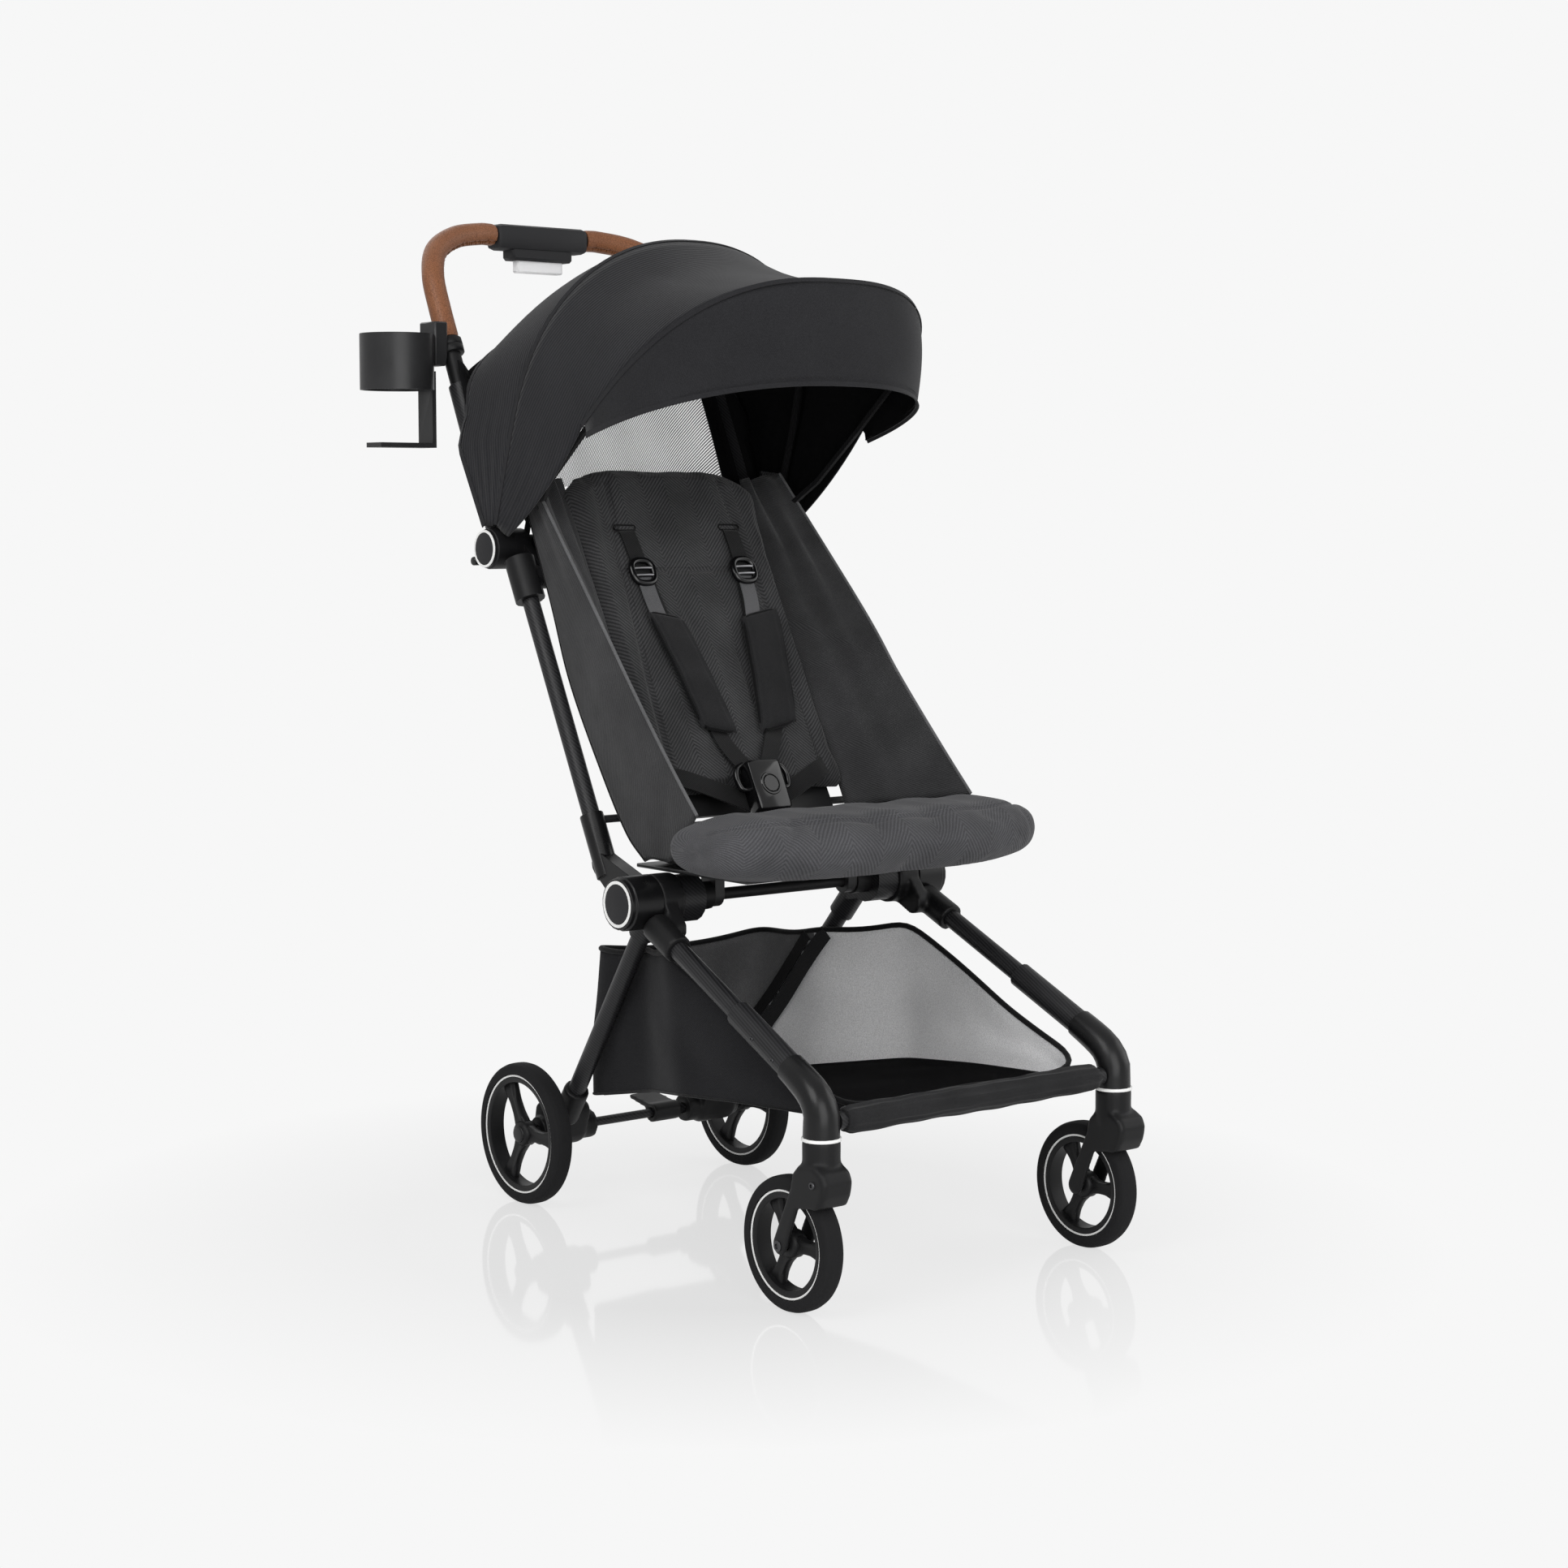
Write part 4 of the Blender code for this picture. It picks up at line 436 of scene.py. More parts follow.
def hardSurface(name, look):
    made, tree, shader = startMaterial(name, {
        "Metallic": look.get("metallic", 0.0), "Coat Weight": look.get("coat", 0.0), "Coat Roughness": 0.25})
    if not look.get("metallic"):
        shader.inputs["IOR"].default_value = look.get("ior", 1.5)
        shader.inputs["Specular IOR Level"].default_value = look.get("gloss", 0.4)
    spotIn = addNode(tree, "ShaderNodeTexCoord").outputs["Object"]
    grain = addNode(tree, "ShaderNodeTexNoise", {"Scale": 1000 / look["grain"], "Detail": 4},
                    {"Vector": spotIn})
    cloud = addNode(tree, "ShaderNodeTexNoise", {"Scale": 1000 / 45, "Detail": 3}, {"Vector": spotIn})
    base = addNode(tree, "ShaderNodeMix", {"data_type": "RGBA", 6: toLinear(look["colour"]),
                                           7: toLinear(look["worn"])}, {0: cloud.outputs[0]})
    colour = base.outputs[2]
    height = grain.outputs[0]
    if "twill" in look:
        # a diagonal line pattern over tubes that lean any way: it runs through all three axes
        turns = 2 * math.pi / (look["twill"] / 1000)
        run = addNode(tree, "ShaderNodeVectorMath", {"operation": "DOT_PRODUCT", 1: (0.52, -0.42, 0.74)},
                      {0: spotIn})
        wave = addNode(tree, "ShaderNodeMath", {"operation": "MULTIPLY", 1: turns}, {0: run.outputs["Value"]})
        wave = addNode(tree, "ShaderNodeMath", {"operation": "SINE"}, {0: wave.outputs[0]})
        lines = addNode(tree, "ShaderNodeMath", {"operation": "MULTIPLY_ADD", 1: 0.5, 2: 0.5},
                        {0: wave.outputs[0]})
        both = addNode(tree, "ShaderNodeMix", {"data_type": "RGBA", 7: toLinear(look["line"])},
                       {0: lines.outputs[0], 6: colour})
        colour = both.outputs[2]
        height = addNode(tree, "ShaderNodeMath", {"operation": "MULTIPLY_ADD", 1: 0.6},
                         {0: lines.outputs[0], 2: grain.outputs[0]}).outputs[0]
    # rubbed edges: convex places on the rounded edges come out a little paler
    edge = addNode(tree, "ShaderNodeNewGeometry")
    rubbed = addNode(tree, "ShaderNodeMapRange", {1: 0.53, 2: 0.62, 3: 0.0, 4: look.get("wear", 0.35)},
                     {0: edge.outputs["Pointiness"]})
    paler = addNode(tree, "ShaderNodeMix", {"data_type": "RGBA", 7: toLinear(look["worn"])},
                    {0: rubbed.outputs[0], 6: colour})
    tree.links.new(paler.outputs[2], shader.inputs["Base Color"])
    rough = addNode(tree, "ShaderNodeMapRange", {1: 0.3, 2: 0.7, 3: look["roughness"] - 0.06,
                                                 4: look["roughness"] + 0.06}, {0: cloud.outputs[0]})
    tree.links.new(rough.outputs[0], shader.inputs["Roughness"])
    bump = addNode(tree, "ShaderNodeBump", {"Strength": look.get("bump", 0.12), "Distance": 0.0003},
                   {"Height": height})
    tree.links.new(bump.outputs[0], shader.inputs["Normal"])
    return made


def grainLeather(name, look):
    # chrome-tanned split leather, pressed grain: small cells with dark creases, rubbed paler in patches
    made, tree, shader = startMaterial(name, {"Specular IOR Level": 0.35, "IOR": 1.5, "Coat Weight": 0.04})
    spotIn = addNode(tree, "ShaderNodeTexCoord").outputs["Object"]
    cells = addNode(tree, "ShaderNodeTexVoronoi", {"feature": "DISTANCE_TO_EDGE", "Scale": 1000 / look["cell"]},
                    {"Vector": spotIn})
    crease = addNode(tree, "ShaderNodeMapRange", {1: 0.0, 2: 0.16}, {0: cells.outputs[0]})
    cloud = addNode(tree, "ShaderNodeTexNoise", {"Scale": 1000 / 28, "Detail": 4}, {"Vector": spotIn})
    tone = addNode(tree, "ShaderNodeMix", {"data_type": "RGBA", 6: toLinear(look["colour"]),
                                           7: toLinear(look["worn"])}, {0: cloud.outputs[0]})
    dark = addNode(tree, "ShaderNodeMix", {"data_type": "RGBA", 6: toLinear(look["crease"])},
                   {0: crease.outputs[0], 7: tone.outputs[2]})
    soft = addNode(tree, "ShaderNodeMix", {"data_type": "RGBA", 0: 0.55},
                   {6: tone.outputs[2], 7: dark.outputs[2]})
    tree.links.new(soft.outputs[2], shader.inputs["Base Color"])
    rough = addNode(tree, "ShaderNodeMapRange", {3: 0.62, 4: 0.46}, {0: crease.outputs[0]})
    tree.links.new(rough.outputs[0], shader.inputs["Roughness"])
    bump = addNode(tree, "ShaderNodeBump", {"Strength": 0.35, "Distance": 0.0003},
                   {"Height": crease.outputs[0]})
    tree.links.new(bump.outputs[0], shader.inputs["Normal"])
    return made


# Drawn aluminium tube under a satin film: fine diagonal lines that catch the light.
# The real lines are under 1 mm apart, drawn at 2.6 mm so that they show.
filmTube = hardSurface("satin film on drawn aluminium tube", {
    "colour": "#0F0F10", "worn": "#1C1C1D", "line": "#2C2C2E", "twill": 2.6, "grain": 0.6,
    "roughness": 0.38, "gloss": 0.25, "bump": 0.18})
# Glass-filled nylon, moulded in a spark-eroded tool: matt, with a fine even grain
nylon = hardSurface("moulded glass-filled nylon", {
    "colour": "#0D0D0E", "worn": "#1C1C1D", "grain": 0.7, "roughness": 0.45, "gloss": 0.2, "bump": 0.2})
# ABS from a polished tool: soft gloss on the round hub bodies
hubPlastic = hardSurface("soft gloss moulded ABS", {
    "colour": "#0B0B0C", "worn": "#161617", "grain": 1.2, "roughness": 0.3, "gloss": 0.28, "bump": 0.06})
# Polypropylene sheet and ABS with a dull face, as on the seat boards and the cup holder
cupPlastic = hardSurface("dull moulded polypropylene", {
    "colour": "#1E1E1F", "worn": "#2C2C2D", "grain": 0.8, "roughness": 0.36, "gloss": 0.3, "bump": 0.15})
housingPlastic = hardSurface("textured ABS housing", {
    "colour": "#202021", "worn": "#2C2C2E", "grain": 0.6, "roughness": 0.55, "gloss": 0.2, "bump": 0.25})
gloss = hardSurface("polished acetal", {
    "colour": "#070708", "worn": "#111112", "grain": 2.0, "roughness": 0.16, "gloss": 0.45, "bump": 0.02})
# Expanded EVA foam: dull, with a fine open-cell speckle
foam = hardSurface("EVA foam tyre", {
    "colour": "#1A1A1B", "worn": "#262627", "grain": 0.9, "roughness": 0.78, "gloss": 0.1, "bump": 0.45})
# White enamel ink ring, pad printed
enamel = hardSurface("white enamel line", {
    "colour": "#EDEDEB", "worn": "#F6F6F5", "grain": 1.5, "roughness": 0.38, "gloss": 0.4, "bump": 0.03,
    "wear": 0.1})
steel = hardSurface("blackened steel screw", {
    "colour": "#3A3A3C", "worn": "#5A5A5C", "grain": 0.5, "roughness": 0.4, "metallic": 1.0, "bump": 0.1})
plated = hardSurface("zinc-plated steel bar", {
    "colour": "#77777A", "worn": "#9A9A9C", "grain": 0.6, "roughness": 0.34, "metallic": 1.0, "bump": 0.08})
acrylic = hardSurface("milky acrylic button", {
    "colour": "#FAFAFC", "worn": "#FFFFFF", "grain": 3.0, "roughness": 0.22, "gloss": 0.5, "ior": 1.49,
    "bump": 0.02})
leather = grainLeather("tanned leather", {
    "colour": "#7C4D31", "worn": "#976240", "crease": "#4A2A18", "cell": 2.2})
leatherThread = wovenCloth("waxed brown thread", {
    "colour": "#5F3A22", "thread": "#7B5033", "weave": "stripe", "spacing": 1.0, "contrast": 0.6,
    "roughness": 0.7, "tilt": 0})

# Woven polyester of the canopy: fine ribs along each panel, 4.4 mm apart as the photograph shows
canopyRib = wovenCloth("ribbed polyester canopy cloth", {
    "colour": "#232325", "thread": "#323235", "weave": "stripe", "spacing": 4.4, "contrast": 0.55,
    "roughness": 0.86, "bump": 0.4, "variation": 0.1})
canopyPlain = wovenCloth("plain polyester canopy cloth", {
    "colour": "#252527", "thread": "#2E2E30", "weave": "plain", "spacing": 1.6, "contrast": 0.5,
    "roughness": 0.86, "bump": 0.25, "variation": 0.08})
lining = wovenCloth("black coated lining", {
    "colour": "#0D0D0E", "thread": "#151516", "weave": "plain", "spacing": 1.6, "contrast": 0.5,
    "roughness": 0.9, "gloss": 0.08, "sheen": 0.0})
windowMesh = wovenCloth("knitted polyester window mesh", {
    "colour": "#A8A8AA", "thread": "#C4C4C6", "weave": "mesh", "spacing": 2.6, "contrast": 0.6,
    "roughness": 0.85, "closed": 0.45})
# Melange polyester: two greys in a wide herringbone, its lines 4.4 mm apart as the photograph shows
seatCloth = wovenCloth("melange herringbone seat cloth", {
    "colour": "#2E2E2F", "thread": "#4C4C4D", "weave": "herringbone", "spacing": 4.4, "width": 30,
    "contrast": 0.8, "roughness": 0.9, "variation": 0.2, "bump": 0.7})
wingCloth = wovenCloth("melange seat cloth, plain", {
    "colour": "#333334", "thread": "#4A4A4B", "weave": "diagonal", "spacing": 3.2, "contrast": 0.6,
    "roughness": 0.9, "variation": 0.2, "bump": 0.5})
lipCloth = wovenCloth("light melange herringbone cloth", {
    "colour": "#414143", "thread": "#5B5B5E", "weave": "herringbone", "spacing": 4.2, "width": 36,
    "contrast": 0.65, "roughness": 0.9, "variation": 0.14, "bump": 0.5})
padCloth = wovenCloth("brushed shoulder pad cloth", {
    "colour": "#242425", "thread": "#303031", "weave": "plain", "spacing": 1.8, "contrast": 0.5,
    "roughness": 0.92, "tilt": 63.3})
# Polyamide webbing: ribs across the strap
webbing = wovenCloth("polyamide webbing", {
    "colour": "#0A0A0B", "thread": "#161617", "weave": "diagonal", "spacing": 2.0, "contrast": 0.6,
    "roughness": 0.6, "tilt": 63.3, "bump": 0.5, "gloss": 0.15})
# Short strap under each adjuster: its gloss is real, its paler grey is painted sheen
sheenPaintedWebbing = wovenCloth("smooth polyester strap with painted sheen", {
    "colour": "#4C4C4E", "thread": "#5C5C5E", "weave": "diagonal", "spacing": 2.0, "contrast": 0.5,
    "roughness": 0.5, "tilt": 63.3, "bump": 0.3, "gloss": 0.35})
binding = wovenCloth("folded polyester binding", {
    "colour": "#0F0F10", "thread": "#1A1A1B", "weave": "diagonal", "spacing": 1.8, "contrast": 0.6,
    "roughness": 0.8, "tilt": 30})
seamThread = wovenCloth("grey bonded thread", {
    "colour": "#5A5A5B", "thread": "#737375", "weave": "stripe", "spacing": 1.0, "contrast": 0.5,
    "roughness": 0.7, "tilt": 0})
basketOut = wovenCloth("coated basket cloth", {
    "colour": "#1C1C1E", "thread": "#262628", "weave": "plain", "spacing": 2.4, "contrast": 0.5,
    "roughness": 0.85, "mottle": 90, "variation": 0.2, "sheen": 0.06})
# Inner face of the basket walls: a light mesh face, made paler still as painted light. Its paleness stands in
# for light coming through the mesh and cancels the shade inside the basket.
basketInnerPaintedLight = wovenCloth("pale inner basket face with painted backlight", {
    "colour": "#DCDCDD", "thread": "#E6E6E7", "weave": "plain", "spacing": 2.4, "contrast": 0.5,
    "roughness": 0.88, "mottle": 90, "variation": 0.05})
basketRear = wovenCloth("grey mesh face of the rear cloth", {
    "colour": "#5A5A5B", "thread": "#6A6A6B", "weave": "plain", "spacing": 2.4, "contrast": 0.6,
    "roughness": 0.88, "variation": 0.14})
basketFloor = wovenCloth("basket floor cloth", {
    "colour": "#0B0B0C", "thread": "#131314", "weave": "plain", "spacing": 2.0, "contrast": 0.5,
    "roughness": 0.9,
    "gloss": 0.02, "sheen": 0.0})
print("materials made:", len(bpy.data.materials))


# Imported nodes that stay: rounded edges and real materials

softEdge = bpy.data.node_groups.new("weld and shade", "GeometryNodeTree")
softEdge.interface.new_socket("Geometry", in_out="INPUT", socket_type="NodeSocketGeometry")
softEdge.interface.new_socket("Geometry", in_out="OUTPUT", socket_type="NodeSocketGeometry")
groupIn = addNode(softEdge, "NodeGroupInput")
welded = addNode(softEdge, "GeometryNodeMergeByDistance", {"Distance": 0.00001},
                 {"Geometry": groupIn.outputs[0]})
bared = addNode(softEdge, "GeometryNodeRemoveAttribute", {"Name": "custom_normal"},
                {"Geometry": welded.outputs[0]})
allSmooth = addNode(softEdge, "GeometryNodeSetShadeSmooth", {"domain": "FACE", "Shade Smooth": True},
                    {"Geometry": bared.outputs[0]})
bend = addNode(softEdge, "GeometryNodeInputMeshEdgeAngle")
steep = addNode(softEdge, "FunctionNodeCompare", {"operation": "GREATER_THAN", 1: math.radians(36)},
                {0: bend.outputs[0]})
sharp = addNode(softEdge, "GeometryNodeSetShadeSmooth", {"domain": "EDGE", "Shade Smooth": False},
                {"Geometry": allSmooth.outputs[0], "Selection": steep.outputs[0]})
addNode(softEdge, "NodeGroupOutput", links={0: sharp.outputs[0]})

keptLooks = {
    "front_leg_socket": (nylon, 0.0008), "front_leg": (filmTube, 0.0006), "front_knee": (hubPlastic, 0.0007),
    "caster_fork": (nylon, 0.0009), "rear_leg": (filmTube, 0.0006), "rear_bracket": (nylon, 0.0008),
    "push_hub": (hubPlastic, 0.0009), "push_tube": (filmTube, 0.0004), "push_socket": (nylon, 0.0008),
    "upper_hub": (nylon, 0.0007), "outer_tube": (filmTube, 0.0006), "rear_axle": (filmTube, 0.0004),
    "hub_crossbar": (nylon, 0.0005), "brake_pedal": (nylon, 0.0008), "seat_board": (cupPlastic, 0.0005),
    "back_board": (cupPlastic, 0.0005), "buckle": (gloss, 0.0009), "buckle_button": (gloss, 0.0006),
    "handle_housing": (housingPlastic, 0.001), "release_button": (acrylic, 0.0008),
    "cup_holder": (cupPlastic, 0.0007), "mid_bow": (binding, 0.0004), "front_bow": (binding, 0.0004),
}
mouldedRound = {"caster_fork": 9, "rear_bracket": 7, "front_leg_socket": 5,
                "brake_pedal": 5}  # smoothing passes
for stem, (look, roundness) in keptLooks.items():
    for name in (stem, f"{stem}_left", f"{stem}_right"):
        if name not in nodes:
            continue
        node = nodes[name]
        for place in node.material_slots:
            place.material = look
        shade = node.modifiers.new("weld and shade", "NODES")
        shade.node_group = softEdge
        if stem in mouldedRound:
            fine = node.modifiers.new("even skin", "REMESH")
            fine.mode = "VOXEL"
            fine.voxel_size = 0.0018
            fine.use_smooth_shade = True
            flow = node.modifiers.new("flowing shape", "SMOOTH")
            flow.factor = 0.5
            flow.iterations = mouldedRound[stem]
            continue
        rounded = node.modifiers.new("rounded edges", "BEVEL")
        rounded.width = roundness
        rounded.segments = 2
        rounded.limit_method = "ANGLE"
        rounded.angle_limit = math.radians(40)
        rounded.harden_normals = True
print("kept nodes dressed")


# Wheels

wheels = {
    "front": {"x": 0.1881, "y": -0.2472, "tyre": 0.0635, "seat": 0.0512, "ring": 0.0499,
              "bodies": "front_wheel"},
    "rear": {"x": 0.1452, "y": 0.2565, "tyre": 0.0750, "seat": 0.0632, "ring": 0.0619, "bodies": "rear_wheel"},
}
wheelLook = {"tyreHalf": 0.011, "rimHalf": 0.009, "wall": 0.0085, "web": 0.0045, "hub": 0.0135,
             "spokeHalf": (0.0098, 0.0062, 0.0105), "steps": 96, "grooves": (-0.0066, -0.0022, 0.0022, 0.0066)}


# rounded bar with a shallow flute down each face
spokeHalfProfile = ((-1, -0.55), (-0.86, -0.92), (-0.5, -1), (0, -0.7), (0.5, -1), (0.86, -0.92), (1, -0.55))
spokeProfile = spokeHalfProfile + tuple((-across, -height) for across, height in spokeHalfProfile)


def tyreLoop(wheel):
    half = wheelLook["tyreHalf"]
    depth = wheel["tyre"] - wheel["seat"] - 0.0003
    loop = []
    for step in range(25):
        angle = math.pi * step / 24
        across = -math.copysign(abs(math.cos(angle)) ** 0.62, math.cos(angle)) * half
        rise = wheel["seat"] + 0.0003 + depth * math.sin(angle) ** 0.5
        # four shallow grooves run round the tread
        if step not in (0, 24):
            for groove in wheelLook["grooves"]:
                rise -= 0.0005 * math.exp(-((across - groove) / 0.0006) ** 2)
        loop.append((across, rise))
    return loop


def spoke(centre, angle, reach):
    out = sideWay(angle)
    wide = sideWay(angle + 90)
    rows = []
    for step in range(15):
        share = step / 14
        far = 0.006 + (reach - 0.006) * share
        atHub, atMiddle, atRim = wheelLook["spokeHalf"]
        if share < 0.4:
            half = atHub + (atMiddle - atHub) * ramp(share, 0, 0.4)
        else:
            half = atMiddle + (atRim - atMiddle) * ramp(share, 0.55, 1.0)
        thick = wheelLook["web"] * (1.15 - 0.25 * share)
        row = []
        for across, height in spokeProfile:
            row.append(Vector(centre) + out * far + wide * half * across + Vector((thick * height, 0, 0)))
        rows.append(row)
    spots = [spot for row in rows for spot in row]
    faces = gridFaces(len(rows), 14, loop=True)
    faces.append(list(range(14))[::-1])
    faces.append([(len(rows) - 1) * 14 + at for at in range(14)])
    return spots, faces


for place, wheel in wheels.items():
    for sideName, side in sides.items():
        centre = (side * wheel["x"], wheel["y"], wheel["tyre"])
        body = f"{wheel['bodies']}_{sideName}"
        tyre = closedPiece(f"tyre_{place}_{sideName}",
                           lathe(centre, (1, 0, 0), tyreLoop(wheel), wheelLook["steps"], True), foam, body)
        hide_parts(f"{place}_tyre_{sideName}")
        half, seat = wheelLook["rimHalf"], wheel["seat"]
        inner = seat - wheelLook["wall"]
        wall = [(-half, inner + 0.0012), (-half, seat - 0.0004), (-half + 0.0004, seat), (half - 0.0004, seat),
                (half, seat - 0.0004), (half, inner + 0.0012), (half - 0.0006, inner + 0.0003),
                (half - 0.004, inner), (-half + 0.004, inner), (-half + 0.0006, inner + 0.0003)]
        parts = [lathe(centre, (1, 0, 0), wall, wheelLook["steps"], True)]
        for angle in (60, 180, 300):
            parts.append(spoke(centre, angle, inner + 0.002))
        hub = wheelLook["hub"]
        parts.append(lathe(centre, (1, 0, 0), [(-0.0088, 0.0058), (-0.0088, hub - 0.003),
                                               (-0.0070, hub - 0.0012), (-0.0045, hub), (0.0045, hub),
                                               (0.0070, hub - 0.0012), (0.0088, hub - 0.003),
                                               (0.0088, 0.0058)], 40, True))
        rim = closedPiece(f"rim_{place}_{sideName}", joined(parts), nylon, body)
        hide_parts(f"{place}_rim_{sideName}")
        lines = []
        for face in (-1, 1):
            at = face * (half + 0.0001)
            ring = wheel["ring"]
            lines.append(lathe(centre, (1, 0, 0), [(at - face * 0.0004, ring - 0.0010),
                                                   (at + face * 0.0003, ring - 0.0009),
                                                   (at + face * 0.0003, ring + 0.0009),
                                                   (at - face * 0.0004, ring + 0.0010)], wheelLook["steps"],
                               True))
        closedPiece(f"wheel_line_{place}_{sideName}", joined(lines), enamel, body)
        # cap over the axle's end
        if place == "rear":
            cap = lathe(Vector(centre) + Vector((side * 0.0088, 0, 0)), (side, 0, 0),
                        [(-0.001, 0.0092), (0.0009, 0.0092), (0.0016, 0.0084), (0.0019, 0.006),
                         (0.0019, 0.0001)], 32)
            closedPiece(f"axle_cap_{sideName}", cap, hubPlastic, body)
print("wheels made")


# White lines, screws and knobs

hubFaces = {
    "lower_hub": {"centre": lowerHub, "x": 0.2036, "ring": 0.0214, "wide": 0.0016, "disc": 0.0194,
                  "bevel": 0.0006, "rise": (0.0007, 0.0009), "body": "push_frame"},
    "upper_hub": {"centre": upperHub, "x": 0.1950, "ring": 0.0180, "wide": 0.0013, "disc": 0.0164,
                  "bevel": 0.0008, "rise": (0.0008, 0.0011), "body": "handle_frame"},
}


def faceRing(name, centre, axis, radius, body, wide):
    profile = [(-0.0006, radius - wide), (0.0004, radius - wide + 0.0001), (0.0004, radius + wide - 0.0001),
               (-0.0006, radius + wide)]
    return closedPiece(name, lathe(centre, axis, profile, 72, True), enamel, body)


def screw(name, centre, axis, radius, body, sunk=0.0):
    head = lathe(centre, axis, [(-0.002 - sunk, radius), (0.0008 - sunk, radius),
                                (0.0014 - sunk, radius * 0.86), (0.0014 - sunk, radius * 0.5),
                                (0.0002 - sunk, radius * 0.46), (0.0002 - sunk, 0.0001)], 24)
    return closedPiece(name, head, steel, body)


for sideName, side in sides.items():
    for place, hub in hubFaces.items():
        middle = Vector((side * hub["x"], *hub["centre"]))
        faceRing(f"{place}_line_{sideName}", middle, (side, 0, 0), hub["ring"], hub["body"], hub["wide"])
        flat = hub["disc"]
        disc = lathe(middle - Vector((side * 0.0002, 0, 0)), (side, 0, 0),
                     [(-0.001, flat), (0.0004, flat), (hub["rise"][0], flat - hub["bevel"]),
                      (hub["rise"][1], 0.0001)], 48)
        closedPiece(f"{place}_disc_{sideName}", disc, housingPlastic, hub["body"])
    band = [(-0.0015, 0.0160), (-0.0015, 0.0180), (-0.0011, 0.0184), (0.0011, 0.0184), (0.0015, 0.0180),
            (0.0015, 0.0160)]
    collar = lathe((side * 0.1862, -0.2857, 0.1672), (0, 0, 1), band, 64, True)
    closedPiece(f"swivel_line_{sideName}", collar, enamel, "chassis")
    screw(f"fork_screw_{sideName}", (side * 0.2061, -0.2965, 0.1285), (side, 0, 0), 0.0036,
          f"front_caster_{sideName}")
    screw(f"axle_screw_{sideName}", (side * 0.2061, -0.2472, 0.0635), (side, 0, 0), 0.0052,
          f"front_caster_{sideName}")
    knob = lathe((side * 0.188, 0.2765, 0.6800), (side, 0, 0),
                 [(-0.004, 0.0046), (0.0026, 0.0046), (0.0036, 0.0040), (0.0040, 0.0030), (0.0040, 0.0001)], 28)
    closedPiece(f"hub_knob_{sideName}", knob, gloss, "handle_frame")
    for number, share in enumerate((0.60, 0.74)):
        spot = mixSpots((side * 0.1763, -0.0575, 0.311), (side * 0.1862, -0.2857, 0.2032), share)
        screw(f"leg_rivet_{sideName}_{number}", spot + Vector((side * 0.0127, 0, 0)), (side, 0, 0), 0.0022,
              "chassis", 0.0006)
print("lines and screws made")


# Handle: tube, collars and leather grips

handle = {"x": 0.172, "tube": 0.0095, "grip": 0.0119, "collarFrom": 0.2225, "collarTo": 0.2400,
          "gripFrom": 0.2412}
gripLook = {"steps": 44, "seamDepth": 0.09, "seamWide": 0.11, "rollHeight": 0.025, "rollAt": 0.26,
            "rollWide": 0.12, "endDrop": 0.045, "endWide": 0.018, "creaseDepth": 0.010, "creaseTurns": 150,
            "bendAt": 0.42, "bendWide": 0.24,
            "stitch": {"length": 0.0052, "gap": -0.0018, "radius": 0.00042, "lift": 0.0004}}
handleBend = ((0.170, 0.3820, 0.979), (0.151, 0.4065, 1.008), (0.117, 0.4235, 1.0255), (0.081, 0.4325, 1.0320),
              (0.060, 0.4350, 1.0325), (0.000, 0.4365, 1.0310))
loopMiddle = Vector((0, 0.375, 0.960))


def handleLine(side, start):
    points = [alongHandle(start, side * handle["x"]), alongHandle(0.278, side * handle["x"])]
    return smoothPath(points + [flipped(spot, side) for spot in handleBend], 10)


wholeTube = handleLine(1, 0.075)
wholeTube = wholeTube + [flipped(spot, -1) for spot in wholeTube[:-1]][::-1]
parts = [sweep(wholeTube, handle["tube"], 28)]
for side in sides.values():
    length = handle["collarTo"] - handle["collarFrom"]
    parts.append(lathe(alongHandle(handle["collarFrom"], side * handle["x"]), sideWay(65),
                       [(0.0, 0.0097), (0.0002, 0.0128), (0.0012, 0.0138), (length * 0.45, 0.0140),
                        (length * 0.5, 0.0134), (length * 0.55, 0.0140), (length - 0.0012, 0.0138),
                        (length - 0.0002, 0.0128), (length, 0.0097)], 40))
handleTube = closedPiece("handle_tube_bent", joined(parts), nylon, "handle")
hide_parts("handle_tube")

for sideName, side in sides.items():
    line = [spot for spot in handleLine(side, handle["gripFrom"]) if abs(spot.x) > 0.0612]
    edge = Vector((side * 0.0612, 0.4350, 1.0325))
    line.append(edge)

    def towardMiddle(spot):
        return loopMiddle - spot

    def leatherShape(angle, share):
        seam = min(angle, 2 * math.pi - angle)
        roll = (1 - gripLook["seamDepth"] * math.exp(-(seam / gripLook["seamWide"]) ** 2)
                + gripLook["rollHeight"] * math.exp(-((seam - gripLook["rollAt"]) / gripLook["rollWide"]) ** 2))
        nearEnd = min(1.0, min(share, 1 - share) / gripLook["endWide"])
        ends = 1 - gripLook["endDrop"] + gripLook["endDrop"] * nearEnd
        # soft cross creases where the leather turns the bend
        bent = math.exp(-((share - gripLook["bendAt"]) / gripLook["bendWide"]) ** 2)
        wave = math.sin(share * gripLook["creaseTurns"]) * math.exp(-(seam / 0.9) ** 2)
        crease = gripLook["creaseDepth"] * wave * bent
        return roll * ends + crease

    grip = closedPiece(f"leather_grip_{sideName}",
                       sweep(line, handle["grip"], gripLook["steps"], inner=towardMiddle, shape=leatherShape),
                       leather, "handle")
    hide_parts(f"grip_{sideName}")
    surface = surfaceOf(grip)
    seam = []
    for at, spot in enumerate(line[2:-2]):
        way = (line[at + 3] - line[at + 1]).normalized()
        up = loopMiddle - spot
        up = (up - way * up.dot(way)).normalized()
        seam.append(spot + up * handle["grip"])
    thread = stitchRun(seam, surface, gripLook["stitch"], across=True)
    closedPiece(f"grip_stitches_{sideName}", thread, leatherThread, "handle")
print("handle made")


# Canopy: one curved surface, cut at the bows

